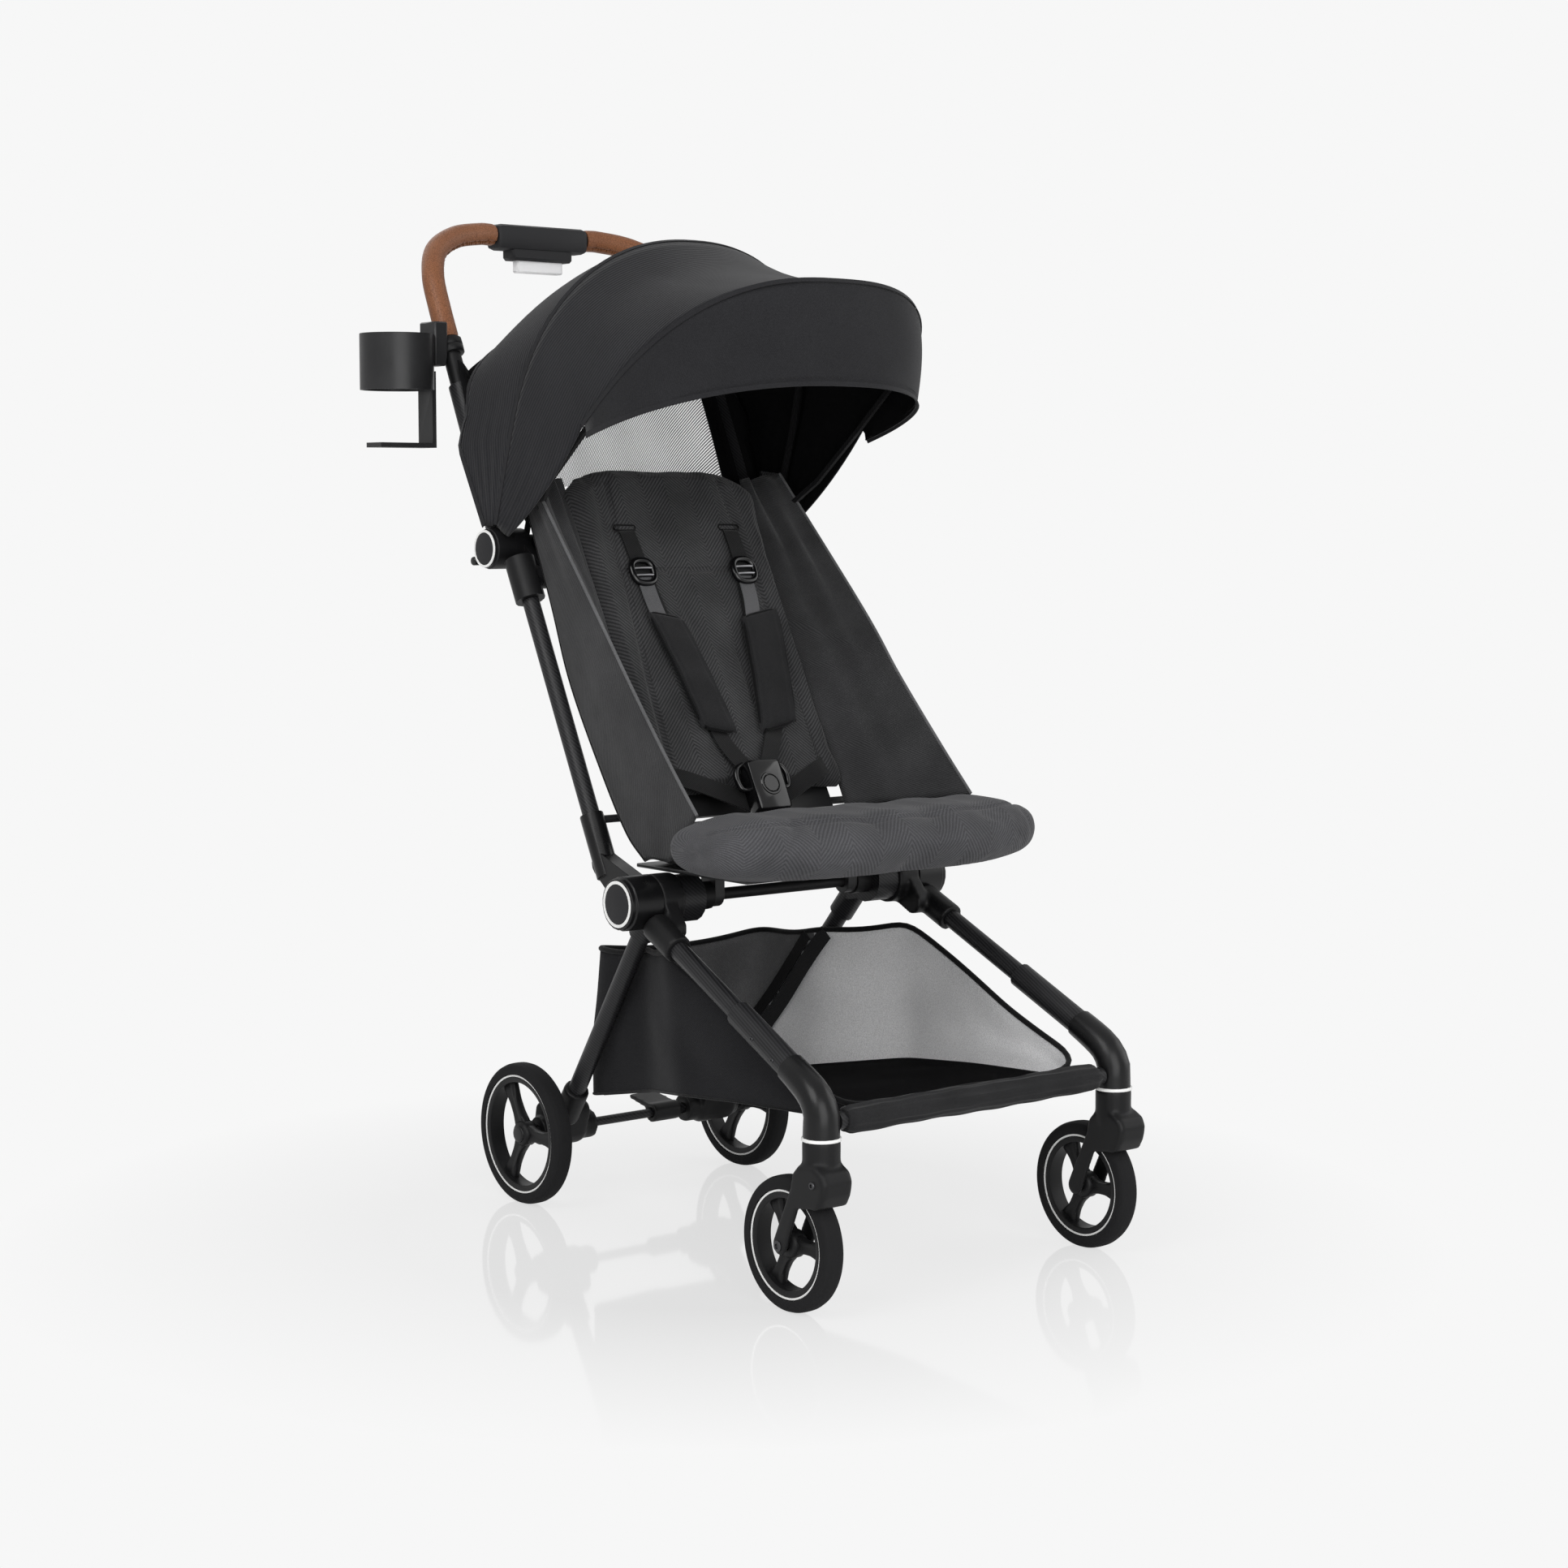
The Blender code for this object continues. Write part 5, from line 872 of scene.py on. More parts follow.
canopy = {
    "cloth": 0.0015, "archSteps": 34, "sideSteps": 12, "rearRows": 18, "middleRows": 16, "bandRows": 14,
    "fan": 0.0006, "fanCount": 9, "flap": 11.0, "half": 0.1857, "rearCrown": 0.015, "middleSag": 0.014,
    "drape": 0.0022,
}
rearHoop = {"angle": 65.0, "half": canopy["half"], "side": 0.130, "crown": 0.2475, "square": 2.3}
midHoop = {"angle": 108.0, "half": canopy["half"], "side": 0.130, "crown": 0.331, "square": 2.3}
frontHoop = {"angle": 142.0, "half": 0.1805, "side": 0.200, "crown": 0.424, "square": 2.7}
clothFoot = 0.0265


def halfArch(hoop, archSteps, sideSteps):
    found = []
    for step in range(sideSteps):
        found.append((hoop["half"], clothFoot + (hoop["side"] - clothFoot) * step / sideSteps))
    power = 2 / hoop["square"]
    rise = hoop["crown"] - hoop["side"]
    for step in range(archSteps + 1):
        turn = math.pi / 2 * step / archSteps
        found.append((hoop["half"] * max(math.cos(turn), 0.0) ** power,
                      hoop["side"] + rise * math.sin(turn) ** power))
    return found


def fullArch(hoop):
    half = halfArch(hoop, canopy["archSteps"], canopy["sideSteps"])
    return [(-x, radius) for x, radius in half[:-1]] + [(0.0, half[-1][1])] + half[-2::-1]


def rearHem(radius):
    if radius < 0.120:
        return 61.0
    if radius < 0.145:
        return 61.0 + 11.0 * (radius - 0.120) / 0.025
    if radius < 0.214:
        return 72.0
    return 72.0 + (65.0 - 72.0) * (radius - 0.214) / (0.2475 - 0.214)


def frontHem(radius):
    if radius >= frontHoop["side"]:
        return frontHoop["angle"]
    return frontHoop["angle"] + canopy["flap"] * (1 - radius / frontHoop["side"])


def panelRows(backEdge, frontEdge, rows, sag, fanAt):
    found = []
    for row in range(rows + 1):
        share = row / rows
        line = []
        for rear, front in zip(backEdge, frontEdge):
            spot = rear.lerp(front, share)
            toHub = Vector((0, upperHub[0] - spot.y, upperHub[1] - spot.z))
            reach = toHub.length
            inward = toHub.normalized()
            crown = 1 - abs(spot.x) / canopy["half"]
            spot = spot + inward * sag * math.sin(math.pi * share) * min(1.0, 2 * crown)
            # shallow pleats that fan out from the hub over the flat side, and soft drape above it
            fan = math.sin(share * math.pi * canopy["fanCount"] + fanAt) * math.sin(math.pi * share)
            near = math.exp(-((reach - 0.07) / 0.07) ** 2) * ramp(abs(spot.x), 0.12, 0.18)
            push = canopy["fan"] * fan * near
            drape = noise.noise(spot * 11) * canopy["drape"] * math.sin(math.pi * share)
            spot = spot + Vector((math.copysign(1, spot.x) * push, 0, 0)) - inward * drape
            line.append(spot)
        found.append(line)
    return found


rearArch, midArch, frontArch = fullArch(rearHoop), fullArch(midHoop), fullArch(frontHoop)
hemEdge = [hoopSpot(x, radius, rearHem(radius)) for x, radius in rearArch]
midEdge = [hoopSpot(x, radius, midHoop["angle"]) for x, radius in midArch]
archEdge = [hoopSpot(x, radius, frontHem(radius)) for x, radius in frontArch]

rearRows = panelRows(hemEdge, midEdge, canopy["rearRows"], -canopy["rearCrown"], 0.4)
middleRows = panelRows(midEdge, archEdge, canopy["middleRows"], canopy["middleSag"], 1.3)


def canopyPanel(name, rows, look, centred):
    return sheetPiece(name, rows, [look, lining], None, canopy["cloth"], centred, lining=True)


rearPanel = canopyPanel("canopy_rear_panel", [row[::-1] for row in rearRows], canopyRib, True)
middlePanel = canopyPanel("canopy_middle_panel", [row[::-1] for row in middleRows], canopyRib, True)
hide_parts("canopy_rear")
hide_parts("canopy_middle")

# front band, from the arch to its rim
rim = {"corner": Vector((0.180, 0.085, 0.806)), "middle": Vector((0.0, -0.0925, 0.855)), "square": 2.35}
bandHalf = []
bandSteps = canopy["archSteps"]
arch = halfArch(frontHoop, bandSteps, 0)
for step, (x, radius) in enumerate(arch):
    turn = math.pi / 2 * step / bandSteps
    across = max(math.cos(turn), 0.0) ** (2 / rim["square"])
    depth = math.sin(turn) ** (2 / rim["square"])
    low = Vector((rim["corner"].x * across, rim["corner"].y + (rim["middle"].y - rim["corner"].y) * depth,
                  rim["corner"].z + (rim["middle"].z - rim["corner"].z) * depth))
    bandHalf.append((hoopSpot(x, radius, frontHoop["angle"]), low))
bandRows = []
for row in range(canopy["bandRows"] + 1):
    share = row / canopy["bandRows"]
    line = []
    for top, low in bandHalf:
        spot = top.lerp(low, share)
        width = (top - low).length
        swell = 0.06 * width * math.sin(math.pi * share) - 0.0015 * noise.noise(spot * 14)
        line.append(spot + Vector((0, -swell, 0.004 * math.sin(math.pi * share))))
    far = [flipped(spot, -1) for spot in line[:-1]]
    bandRows.append([flipped(spot, -1) for spot in far] + [line[-1]] + far[::-1])
frontBand = canopyPanel("canopy_band_panel", bandRows, canopyPlain, False)
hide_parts("canopy_front_band")
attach(frontBand, "canopy_front")

# mesh window that hangs from the rear hem
window = {"half": 0.112, "y": 0.2425, "z": 0.757, "rows": 14, "hungWithin": 0.127, "ripple": 0.0022,
          "thickness": 0.0006}
hung = [at for at, spot in enumerate(hemEdge) if abs(spot.x) < window["hungWithin"]]
widest = max(abs(hemEdge[at].x) for at in hung)
windowRows = []
for row in range(window["rows"] + 1):
    share = row / window["rows"]
    line = []
    for at in hung:
        foot = Vector((hemEdge[at].x / widest * window["half"], window["y"], window["z"]))
        spot = hemEdge[at].lerp(foot, share)
        ripple = window["ripple"] * math.sin(spot.x * 95) * math.sin(math.pi * share)
        line.append(spot + Vector((0, ripple, 0)))
    windowRows.append(line)
windowSheet = sheetPiece("canopy_window", windowRows, windowMesh, "handle_frame", window["thickness"])
gusset = {"top": 0.205, "drop": 0.160, "tubeSide": 0.157, "overTube": 0.0155, "panel": 0.1848, "steps": 8,
          "swell": 0.003, "thickness": 0.0010}
for sideName, side in sides.items():
    # side cloth from the window to the handle tube, over its front and on to the canopy's side
    rows = []
    for row, line in enumerate(windowRows):
        share = row / window["rows"]
        start = max(line, key=lambda spot: spot.x * side)
        distance = gusset["top"] - gusset["drop"] * share
        stop = alongHandle(distance, side * gusset["tubeSide"])
        overTube = alongHandle(distance, side * handle["x"]) + sideWay(155) * gusset["overTube"]
        panel = hoopSpot(side * gusset["panel"], distance, max(rearHem(distance), 71.0))
        rows.append([start.lerp(stop, step / gusset["steps"])
                     + Vector((0, gusset["swell"] * math.sin(math.pi * step / gusset["steps"]), 0))
                     for step in range(gusset["steps"] + 1)]
                    + [stop.lerp(overTube, 0.7), overTube, panel])
    made = sheetPiece(f"canopy_gusset_{sideName}", rows, lining, "handle_frame", gusset["thickness"])
    declareSheet(made, rows, "stretched")


tape = {"lift": 0.0012, "thick": 0.0010}


def seamTape(name, edge, wide, body):
    # flat-felled seam: a narrow doubled strip along an edge, proud of the cloth
    widths, thins, path = [], [], []
    for at, spot in enumerate(edge):
        way = (edge[min(at + 1, len(edge) - 1)] - edge[max(at - 1, 0)]).normalized()
        fromHub = Vector((spot.x * 1.2, spot.y - upperHub[0], spot.z - upperHub[1]))
        up = (fromHub - way * fromHub.dot(way)).normalized()
        path.append(spot + up * tape["lift"])
        widths.append(way.cross(up) * wide / 2)
        thins.append(up)
    closedPiece(name, ribbon(path, widths, thins, tape["thick"]), canopyPlain, body)


upperArch = [spot for spot, (x, radius) in zip(archEdge, frontArch) if radius >= frontHoop["side"]]
rimHem = [a.lerp(b, 0.05) for a, b in zip(bandRows[-1], bandRows[-2])]
seamTape("canopy_seam_middle", midEdge, 0.0055, "canopy_mid")
seamTape("canopy_seam_front", upperArch, 0.0050, "canopy_front")
seamTape("canopy_hem_rear", hemEdge, 0.0070, "handle_frame")
seamTape("canopy_hem_front", rimHem, 0.0075, "canopy_front")
threadLook = {"length": 0.0030, "gap": 0.0016, "radius": 0.00030, "lift": 0.0003}
bandSurface = surfaceOf(frontBand)
topStitch = [a.lerp(b, 0.75) for a, b in zip(bandRows[-1], bandRows[-2])]
closedPiece("canopy_stitches_front", stitchRun(topStitch, bandSurface, threadLook), padCloth, "canopy_front")
declareSheet(rearPanel, rearRows, "stretched")
declareSheet(middlePanel, middleRows, "stretched")
declareSheet(frontBand, bandRows, "stretched")
declareSheet(windowSheet, windowRows, "hung")
hub = Vector((0, *upperHub))
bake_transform(rearPanel)
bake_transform(middlePanel)
print("canopy made")


# Side wings

wing = {"thickness": 0.0016, "rows": 44, "outer": 16, "inner": 20, "billow": 0.004, "dip": 0.026,
        "top": 0.360, "drop": 0.382, "tuck": 0.0022, "behind": 0.0155, "outerFold": 0.004, "innerFold": 0.008,
        "longFold": 0.0036, "bow": 0.005, "piping": 0.0016, "hem": 0.0015}
frameEdge = [(0.160, 0.240, 0.775), (0.160, 0.180, 0.641), (0.160, 0.146, 0.5595), (0.160, 0.092, 0.4726),
             (0.160, 0.050, 0.415), (0.160, 0.0188, 0.3895)]
ridgeEdge = [(0.164, 0.212, 0.772), (0.172, 0.080, 0.628), (0.173, 0.022, 0.560), (0.175, -0.042, 0.490),
             (0.176, -0.087, 0.4435)]
for sideName, side in sides.items():
    frameLine = smoothPath(frameEdge, 20)
    ridgeLine = smoothPath(ridgeEdge, 20)
    rows = []
    for step in range(wing["rows"] + 1):
        share = step / wing["rows"]
        ridge = ridgeLine[round(share * (len(ridgeLine) - 1))]
        outer = frameLine[round(share * (len(frameLine) - 1))]
        t = wing["top"] - wing["drop"] * share
        part = min(max(t / 0.364, 0.0), 1.0)
        v = 2 * part - 1
        inner = backPoint((0.126 - 0.007 * part) * (1 - 0.02 * (1 - v * v)) - wing["tuck"], t, wing["behind"])
        bow = math.sin(math.pi * share)
        row = []
        for across in range(wing["outer"]):
            s = across / wing["outer"]
            spot = outer.lerp(ridge, s)
            fold = noise.noise(Vector((s * 3.0, share * 6.0,
                                       2.1 * side))) * wing["outerFold"] * math.sin(math.pi * s)
            low = wing["dip"] * ramp(share, 0.78, 1.0) * math.sin(math.pi * s ** 1.6)
            row.append(spot + Vector((wing["bow"] * bow * math.sin(math.pi * s) + fold, low * 0.35, -low)))
        for across in range(wing["inner"] + 1):
            s = across / wing["inner"]
            spot = ridge.lerp(inner, s)
            # long soft folds run down beside the back pad
            inside = ramp(s, 0.25, 0.6) * (1 - ramp(s, 0.85, 1.0))
            run = math.sin(s * 15 + share * 3.0 + side) * wing["longFold"] * inside
            fold = noise.noise(Vector((s * 3.0, share * 5.0,
                                       6.3 + side))) * wing["innerFold"] * math.sin(math.pi * s) + run
            row.append(spot + Vector((wing["billow"] * bow * math.sin(math.pi * s), -fold, fold * 0.4)))
        rows.append([flipped(spot, side) for spot in row])
    made = sheetPiece(f"wing_{sideName}", rows, wingCloth, "push_frame", wing["thickness"])
    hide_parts(f"side_wing_{sideName}")
    declareSheet(made, rows, "stretched")
    piping = closedPiece(f"wing_piping_{sideName}",
                         sweep([row[wing["outer"]] for row in rows], wing["piping"], 8), seamThread,
                         "push_frame")
    edgeLine = [row[0] for row in rows] + rows[-1][1:wing["outer"]]
    hem = closedPiece(f"wing_hem_{sideName}", sweep(edgeLine, wing["hem"], 8), binding, "push_frame")
    for flat in (made, piping, hem):
        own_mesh(flat)
print("wings made")


# Padded pieces: puffed up in a cloth simulation, then sewn

def padShape(mid, thick, across, along, endPower=8.0, sidePower=8.0):
    # closed crowned pad: mid(u, v) gives a point and its face normal for u and v from -1 to 1
    spots, faces = [], []
    upper, lower = {}, {}
    for i in range(along + 1):
        v = 2 * i / along - 1
        for j in range(across + 1):
            u = 2 * j / across - 1
            spot, normal = mid(u, v)
            if i in (0, along) or j in (0, across):
                upper[i, j] = lower[i, j] = len(spots)
                spots.append(spot)
            else:
                fall = (max(0.0, 1 - abs(u) ** endPower) * max(0.0, 1 - abs(v) ** sidePower)) ** 0.5
                top, under = thick(u, v)
                upper[i, j] = len(spots)
                spots.append(spot + normal * top * fall)
                lower[i, j] = len(spots)
                spots.append(spot - normal * under * fall)
    for i in range(along):
        for j in range(across):
            faces.append((upper[i, j], upper[i, j + 1], upper[i + 1, j + 1], upper[i + 1, j]))
            faces.append((lower[i, j], lower[i + 1, j], lower[i + 1, j + 1], lower[i, j + 1]))
    return spots, faces


def applied(made):
    graph = bpy.context.evaluated_depsgraph_get()
    fresh = bpy.data.meshes.new_from_object(made.evaluated_get(graph))
    made.modifiers.clear()
    made.data = fresh


def layCloth(made, lay):
    # lays the weave over a puffed piece: lay(spot) gives running lengths in metres
    layer = made.data.uv_layers.new(name="cloth")
    for loop in made.data.loops:
        layer.data[loop.index].uv = lay(made.data.vertices[loop.vertex_index].co - shift)


def puffUp(made, look, inside):
    remesh = made.modifiers.new("remesh", "REMESH")
    remesh.mode = "VOXEL"
    remesh.voxel_size = look["voxel"]
    applied(made)
    rest = [vert.co.copy() for vert in made.data.vertices]
    puffed = made.modifiers.new("puff", "CLOTH")
    puffed.settings.quality = 4
    puffed.settings.mass = 0.3
    puffed.settings.use_pressure = True
    puffed.settings.uniform_pressure_force = look["pressure"]
    puffed.settings.effector_weights.gravity = 0
    puffed.settings.bending_stiffness = look.get("stiff", 0.5)
    puffed.point_cache.frame_start = 1
    puffed.point_cache.frame_end = 20
    for frameNumber in range(1, 21):
        scene.frame_set(frameNumber)
    applied(made)
    scene.frame_set(1)
    for vert, start in zip(made.data.vertices, rest):
        moved = vert.co - start
        if moved.length > look["cap"]:
            vert.co = start + moved.normalized() * look["cap"]
    smooth = made.modifiers.new("smooth", "SMOOTH")
    smooth.factor = 0.5
    smooth.iterations = look.get("smooth", 1)
    finer = made.modifiers.new("finer", "SUBSURF")
    finer.levels = finer.render_levels = 1
    applied(made)
    for vert in made.data.vertices:
        vert.co = inside(vert.co - shift) + shift
    made.data.shade_smooth()


def heldIn(spot, low, high):
    return Vector([min(max(spot[axis], low[axis]), high[axis]) for axis in range(3)])


def fitted(made, low, high, into=Vector, outOf=Vector):
    # the simulation draws a pad in a little: stretch it back to its full size
    spots = [into(vert.co - shift) for vert in made.data.vertices]
    lows = [min(spot[axis] for spot in spots) for axis in range(3)]
    highs = [max(spot[axis] for spot in spots) for axis in range(3)]
    for vert, spot in zip(made.data.vertices, spots):
        shares = [(spot[axis] - lows[axis]) / (highs[axis] - lows[axis]) for axis in range(3)]
        vert.co = outOf([low[axis] + (high[axis] - low[axis]) * shares[axis] for axis in range(3)]) + shift


def sewIn(made, lines, way):
    # presses seams and creases into the face that looks along way: (path, width, depth)
    graph = [([Vector(spot) for spot in path], width, depth) for path, width, depth in lines]
    normals = [vert.normal.copy() for vert in made.data.vertices]
    for vert, normal in zip(made.data.vertices, normals):
        if normal.dot(way) < 0.15:
            continue
        spot = vert.co - shift
        push = 0.0
        for path, width, depth in graph:
            near = 1.0
            for a, b in zip(path, path[1:]):
                span = b - a
                share = min(max((spot - a).dot(span) / max(span.length_squared, 1e-12), 0), 1)
                gap = spot - (a + span * share)
                gap -= way * gap.dot(way)
                near = min(near, gap.length)
            push += depth * math.exp(-(near / width) ** 2)
        vert.co -= normal * push * ramp(normal.dot(way), 0.15, 0.5)


up = Vector((0, 0, 1))
boardTop = 0.3838
seatPad = {"half": 0.1480, "front": -0.0585, "rear": 0.0440, "topFront": 0.4275, "topRear": 0.4155,
           "voxel": 0.0045, "pressure": 4.0, "cap": 0.005,
           "limits": ((-0.1520, -0.0605, boardTop), (0.1520, 0.0465, 1.0)),
           "full": ((-0.1520, -0.0600, 0.3842), (0.1520, 0.0462, 0.4300))}


def seatMiddle(u, v):
    share = (v + 1) / 2
    top = seatPad["topFront"] + (seatPad["topRear"] - seatPad["topFront"]) * share
    y = seatPad["front"] + (seatPad["rear"] - seatPad["front"]) * share
    tuck = 1 - 0.03 * (1 - v * v)
    return Vector((u * seatPad["half"] * tuck, y, (boardTop + 0.001 + top) / 2)), up


def seatThick(u, v):
    top = seatPad["topFront"] + (seatPad["topRear"] - seatPad["topFront"]) * (v + 1) / 2
    half = (top - boardTop - 0.001) / 2
    return half, half


made = closedPiece("seat_cushion", padShape(seatMiddle, seatThick, 40, 20), seatCloth)
puffUp(made, seatPad, lambda spot: heldIn(spot, *seatPad["limits"]))
fitted(made, *seatPad["full"])
layCloth(made, lambda spot: (spot.x, spot.y))
sewIn(made, [([(-0.15, 0.0, 0.43), (0.15, 0.0, 0.43)], 0.004, 0.0025),
             ([(-0.085, -0.06, 0.43), (-0.080, 0.045, 0.42)], 0.004, 0.0025),
             ([(0.085, -0.06, 0.43), (0.080, 0.045, 0.42)], 0.004, 0.0025)], up)
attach(made, "seat")
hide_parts("seat_pad")
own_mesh(made)

seatLip = {"middle": 0.0045, "half": 0.2045, "nose": -0.1915, "side": -0.1500, "rear": -0.0650, "low": 0.3860,
           "top": 0.4425, "voxel": 0.0045, "pressure": 4.0, "cap": 0.006, "stiff": 0.8,
           "limits": ((-0.2040, -0.1985, boardTop), (0.2135, -0.0602, 0.4470)),
           "full": ((-0.2035, -0.1975, 0.3842), (0.2130, -0.0605, 0.4450))}


def lipMiddle(u, v):
    # plan with rounded ends; the nose bows forward in the middle
    nose = seatLip["nose"] + (seatLip["side"] - seatLip["nose"]) * abs(u) ** 3.0
    centre = (nose + seatLip["rear"]) / 2
    deep = (seatLip["rear"] - nose) / 2 * max(0.0, 1 - abs(u) ** 14) ** 0.28
    return Vector((seatLip["middle"] + u * seatLip["half"], centre + v * deep,
                   (seatLip["low"] + seatLip["top"]) / 2)), up


def lipThick(u, v):
    half = (seatLip["top"] - seatLip["low"]) / 2
    quilt = 0.0018 * (math.cos(u * 17) - 1) * (1 - v * v)
    return half + quilt, half


def layLip(spot):
    # round the roll from its rear: the weave turns with the cloth
    turned = math.atan2(spot.z - 0.414, -(spot.y + 0.122))
    return spot.x, turned * 0.055


made = closedPiece("seat_front_roll", padShape(lipMiddle, lipThick, 72, 26, 14.0, 3.6), lipCloth)
puffUp(made, seatLip, lambda spot: heldIn(spot, *seatLip["limits"]))
fitted(made, *seatLip["full"])
layCloth(made, layLip)
frontTop = smoothPath([(-0.192, -0.128, 0.432), (-0.150, -0.160, 0.441), (-0.05, -0.178, 0.442),
                       (0.05, -0.178, 0.442), (0.150, -0.160, 0.441), (0.200, -0.128, 0.432)], 8)
slant = [([(-0.118, -0.170, 0.442), (-0.150, -0.190, 0.415), (-0.172, -0.180, 0.392)], 0.004, 0.0022),
         ([(0.120, -0.180, 0.430), (0.165, -0.180, 0.405)], 0.005, 0.0014),
         ([(-0.03, -0.18, 0.43), (0.02, -0.19, 0.40)], 0.006, 0.0012),
         ([(0.175, -0.16, 0.43), (0.185, -0.16, 0.40)], 0.004, 0.0014)]
sewIn(made, [(frontTop, 0.0032, 0.0026)], (up * 0.8 + Vector((0, -0.6, 0))).normalized())
sewIn(made, slant, Vector((0, -1, 0.2)).normalized())
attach(made, "seat")
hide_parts("seat_lip")
lipSurface = surfaceOf(made)
lipThread = closedPiece("lip_stitches", stitchRun([spot + Vector((0, 0.004, 0)) for spot in frontTop],
                                                  lipSurface, threadLook), seamThread, "seat")
for flat in (made, lipThread):
    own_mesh(flat)

backPad = {"long": 0.3660, "low": 0.1265, "high": 0.1225, "thick": 0.0240, "cornerDrop": 0.030,
           "voxel": 0.0045, "pressure": 3.0, "cap": 0.006,
           "full": ((-0.1268, -0.0010, -0.0008), (0.1268, 0.3685, 0.0250))}


def backMiddle(u, v):
    t = 0.0005 + (backPad["long"] - 0.0005) * (v + 1) / 2
    tuck = 1 - 0.02 * (1 - v * v)
    x = u * (backPad["low"] + (backPad["high"] - backPad["low"]) * (v + 1) / 2 - 0.0008) * tuck
    t -= backPad["cornerDrop"] * abs(u) ** 5 * ramp(v, 0.72, 1.0)  # rounded upper corners
    return backPoint(x, t, 0.0130), sideWay(153.3)


def backThick(u, v):
    return backPad["thick"] / 2, backPad["thick"] / 2


backWay = sideWay(153.3)


def alongBack(spot):
    gap = spot - Vector((0, 0.047, 0.450))
    return spot.x, gap.dot(sideWay(63.3)), gap.dot(sideWay(-26.7))


def insideBack(spot):
    x, t, n = alongBack(spot)
    t = min(max(t, -0.002), 0.3700)
    n = min(max(n, -0.0012), 0.0250)
    limit = 0.1272 - 0.0040 * min(max(t / 0.364, 0), 1)
    return backPoint(min(max(x, -limit), limit), t, n)


made = closedPiece("back_cushion", padShape(backMiddle, backThick, 36, 50, 14.0, 16.0), seatCloth)
puffUp(made, backPad, insideBack)
fitted(made, *backPad["full"], alongBack, lambda at: backPoint(*at))
layCloth(made, lambda spot: (spot.x, (spot - Vector((0, 0.047, 0.450))).dot(sideWay(63.3))))


def onBack(points, n=0.0):
    return [backPoint(x, t, n) for x, t in points]


backSeams = [
    (onBack([(-0.082, 0.246), (0.082, 0.246)]), 0.0030, 0.0030),
    (onBack([(-0.074, 0.350), (-0.084, 0.246), (-0.094, 0.12), (-0.098, 0.01)]), 0.0036, 0.0038),
    (onBack([(0.074, 0.350), (0.084, 0.246), (0.094, 0.12), (0.098, 0.01)]), 0.0036, 0.0038),
]
for number in range(9):
    x = random.uniform(-0.09, 0.09)
    t = random.uniform(0.02, 0.20)
    long = random.uniform(0.03, 0.08)
    lean = random.uniform(-0.012, 0.012)
    backSeams.append((onBack([(x, t), (x + lean, t + long)]), random.uniform(0.004, 0.008),
                      random.uniform(0.0012, 0.0026)))
for x in (-0.098, -0.089, 0.088, 0.097, 0.104):
    backSeams.append((onBack([(x, 0.25), (x * 0.93, 0.34)]), 0.0040, 0.0018))
sewIn(made, backSeams, backWay)
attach(made, "backrest")
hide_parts("back_pad")
backSurface = surfaceOf(made)
for number, path in enumerate((backSeams[0][0], backSeams[1][0], backSeams[2][0])):
    aside = (sideWay(63.3), Vector((1, 0, 0)), Vector((-1, 0, 0)))[number] * 0.0035
    nudged = [spot + aside for spot in path]
    closedPiece(f"back_stitches_{number}", stitchRun(nudged, backSurface, threadLook), padCloth, "backrest")
print("pads made")


# Harness

strap = {"width": 0.020, "thick": 0.0016, "clear": -0.0028}
ladder = {"x": 0.066, "t": 0.242, "half": 0.0135, "tall": 0.0130, "frame": 0.0034, "bar": 0.0018,
          "bars": (-0.004, 0.004)}
slotShape = ((-0.0125, -0.0028), (0, -0.0030), (0.0125, -0.0028), (0.0135, 0), (0.0125, 0.0028), (0, 0.0030),
             (-0.0125, 0.0028), (-0.0135, 0))
clipShape = ((0.0200, 0.020), (0.0285, 0.016), (0.0325, 0.006), (0.0300, -0.006), (0.0215, -0.008))
out = backWay


def strapAlong(name, path, look, body, width=None, thick=None, facing=None):
    path = smoothPath(path, 6)
    half = (width or strap["width"]) / 2
    widths, thins = [], []
    for at in range(len(path)):
        way = (path[min(at + 1, len(path) - 1)] - path[max(at - 1, 0)]).normalized()
        face = facing(at / (len(path) - 1)) if facing else out
        across = way.cross(face).normalized()
        widths.append(across * half)
        thins.append(across.cross(way).normalized())
    return closedPiece(name, ribbon(path, widths, thins, thick or strap["thick"]), look, body)


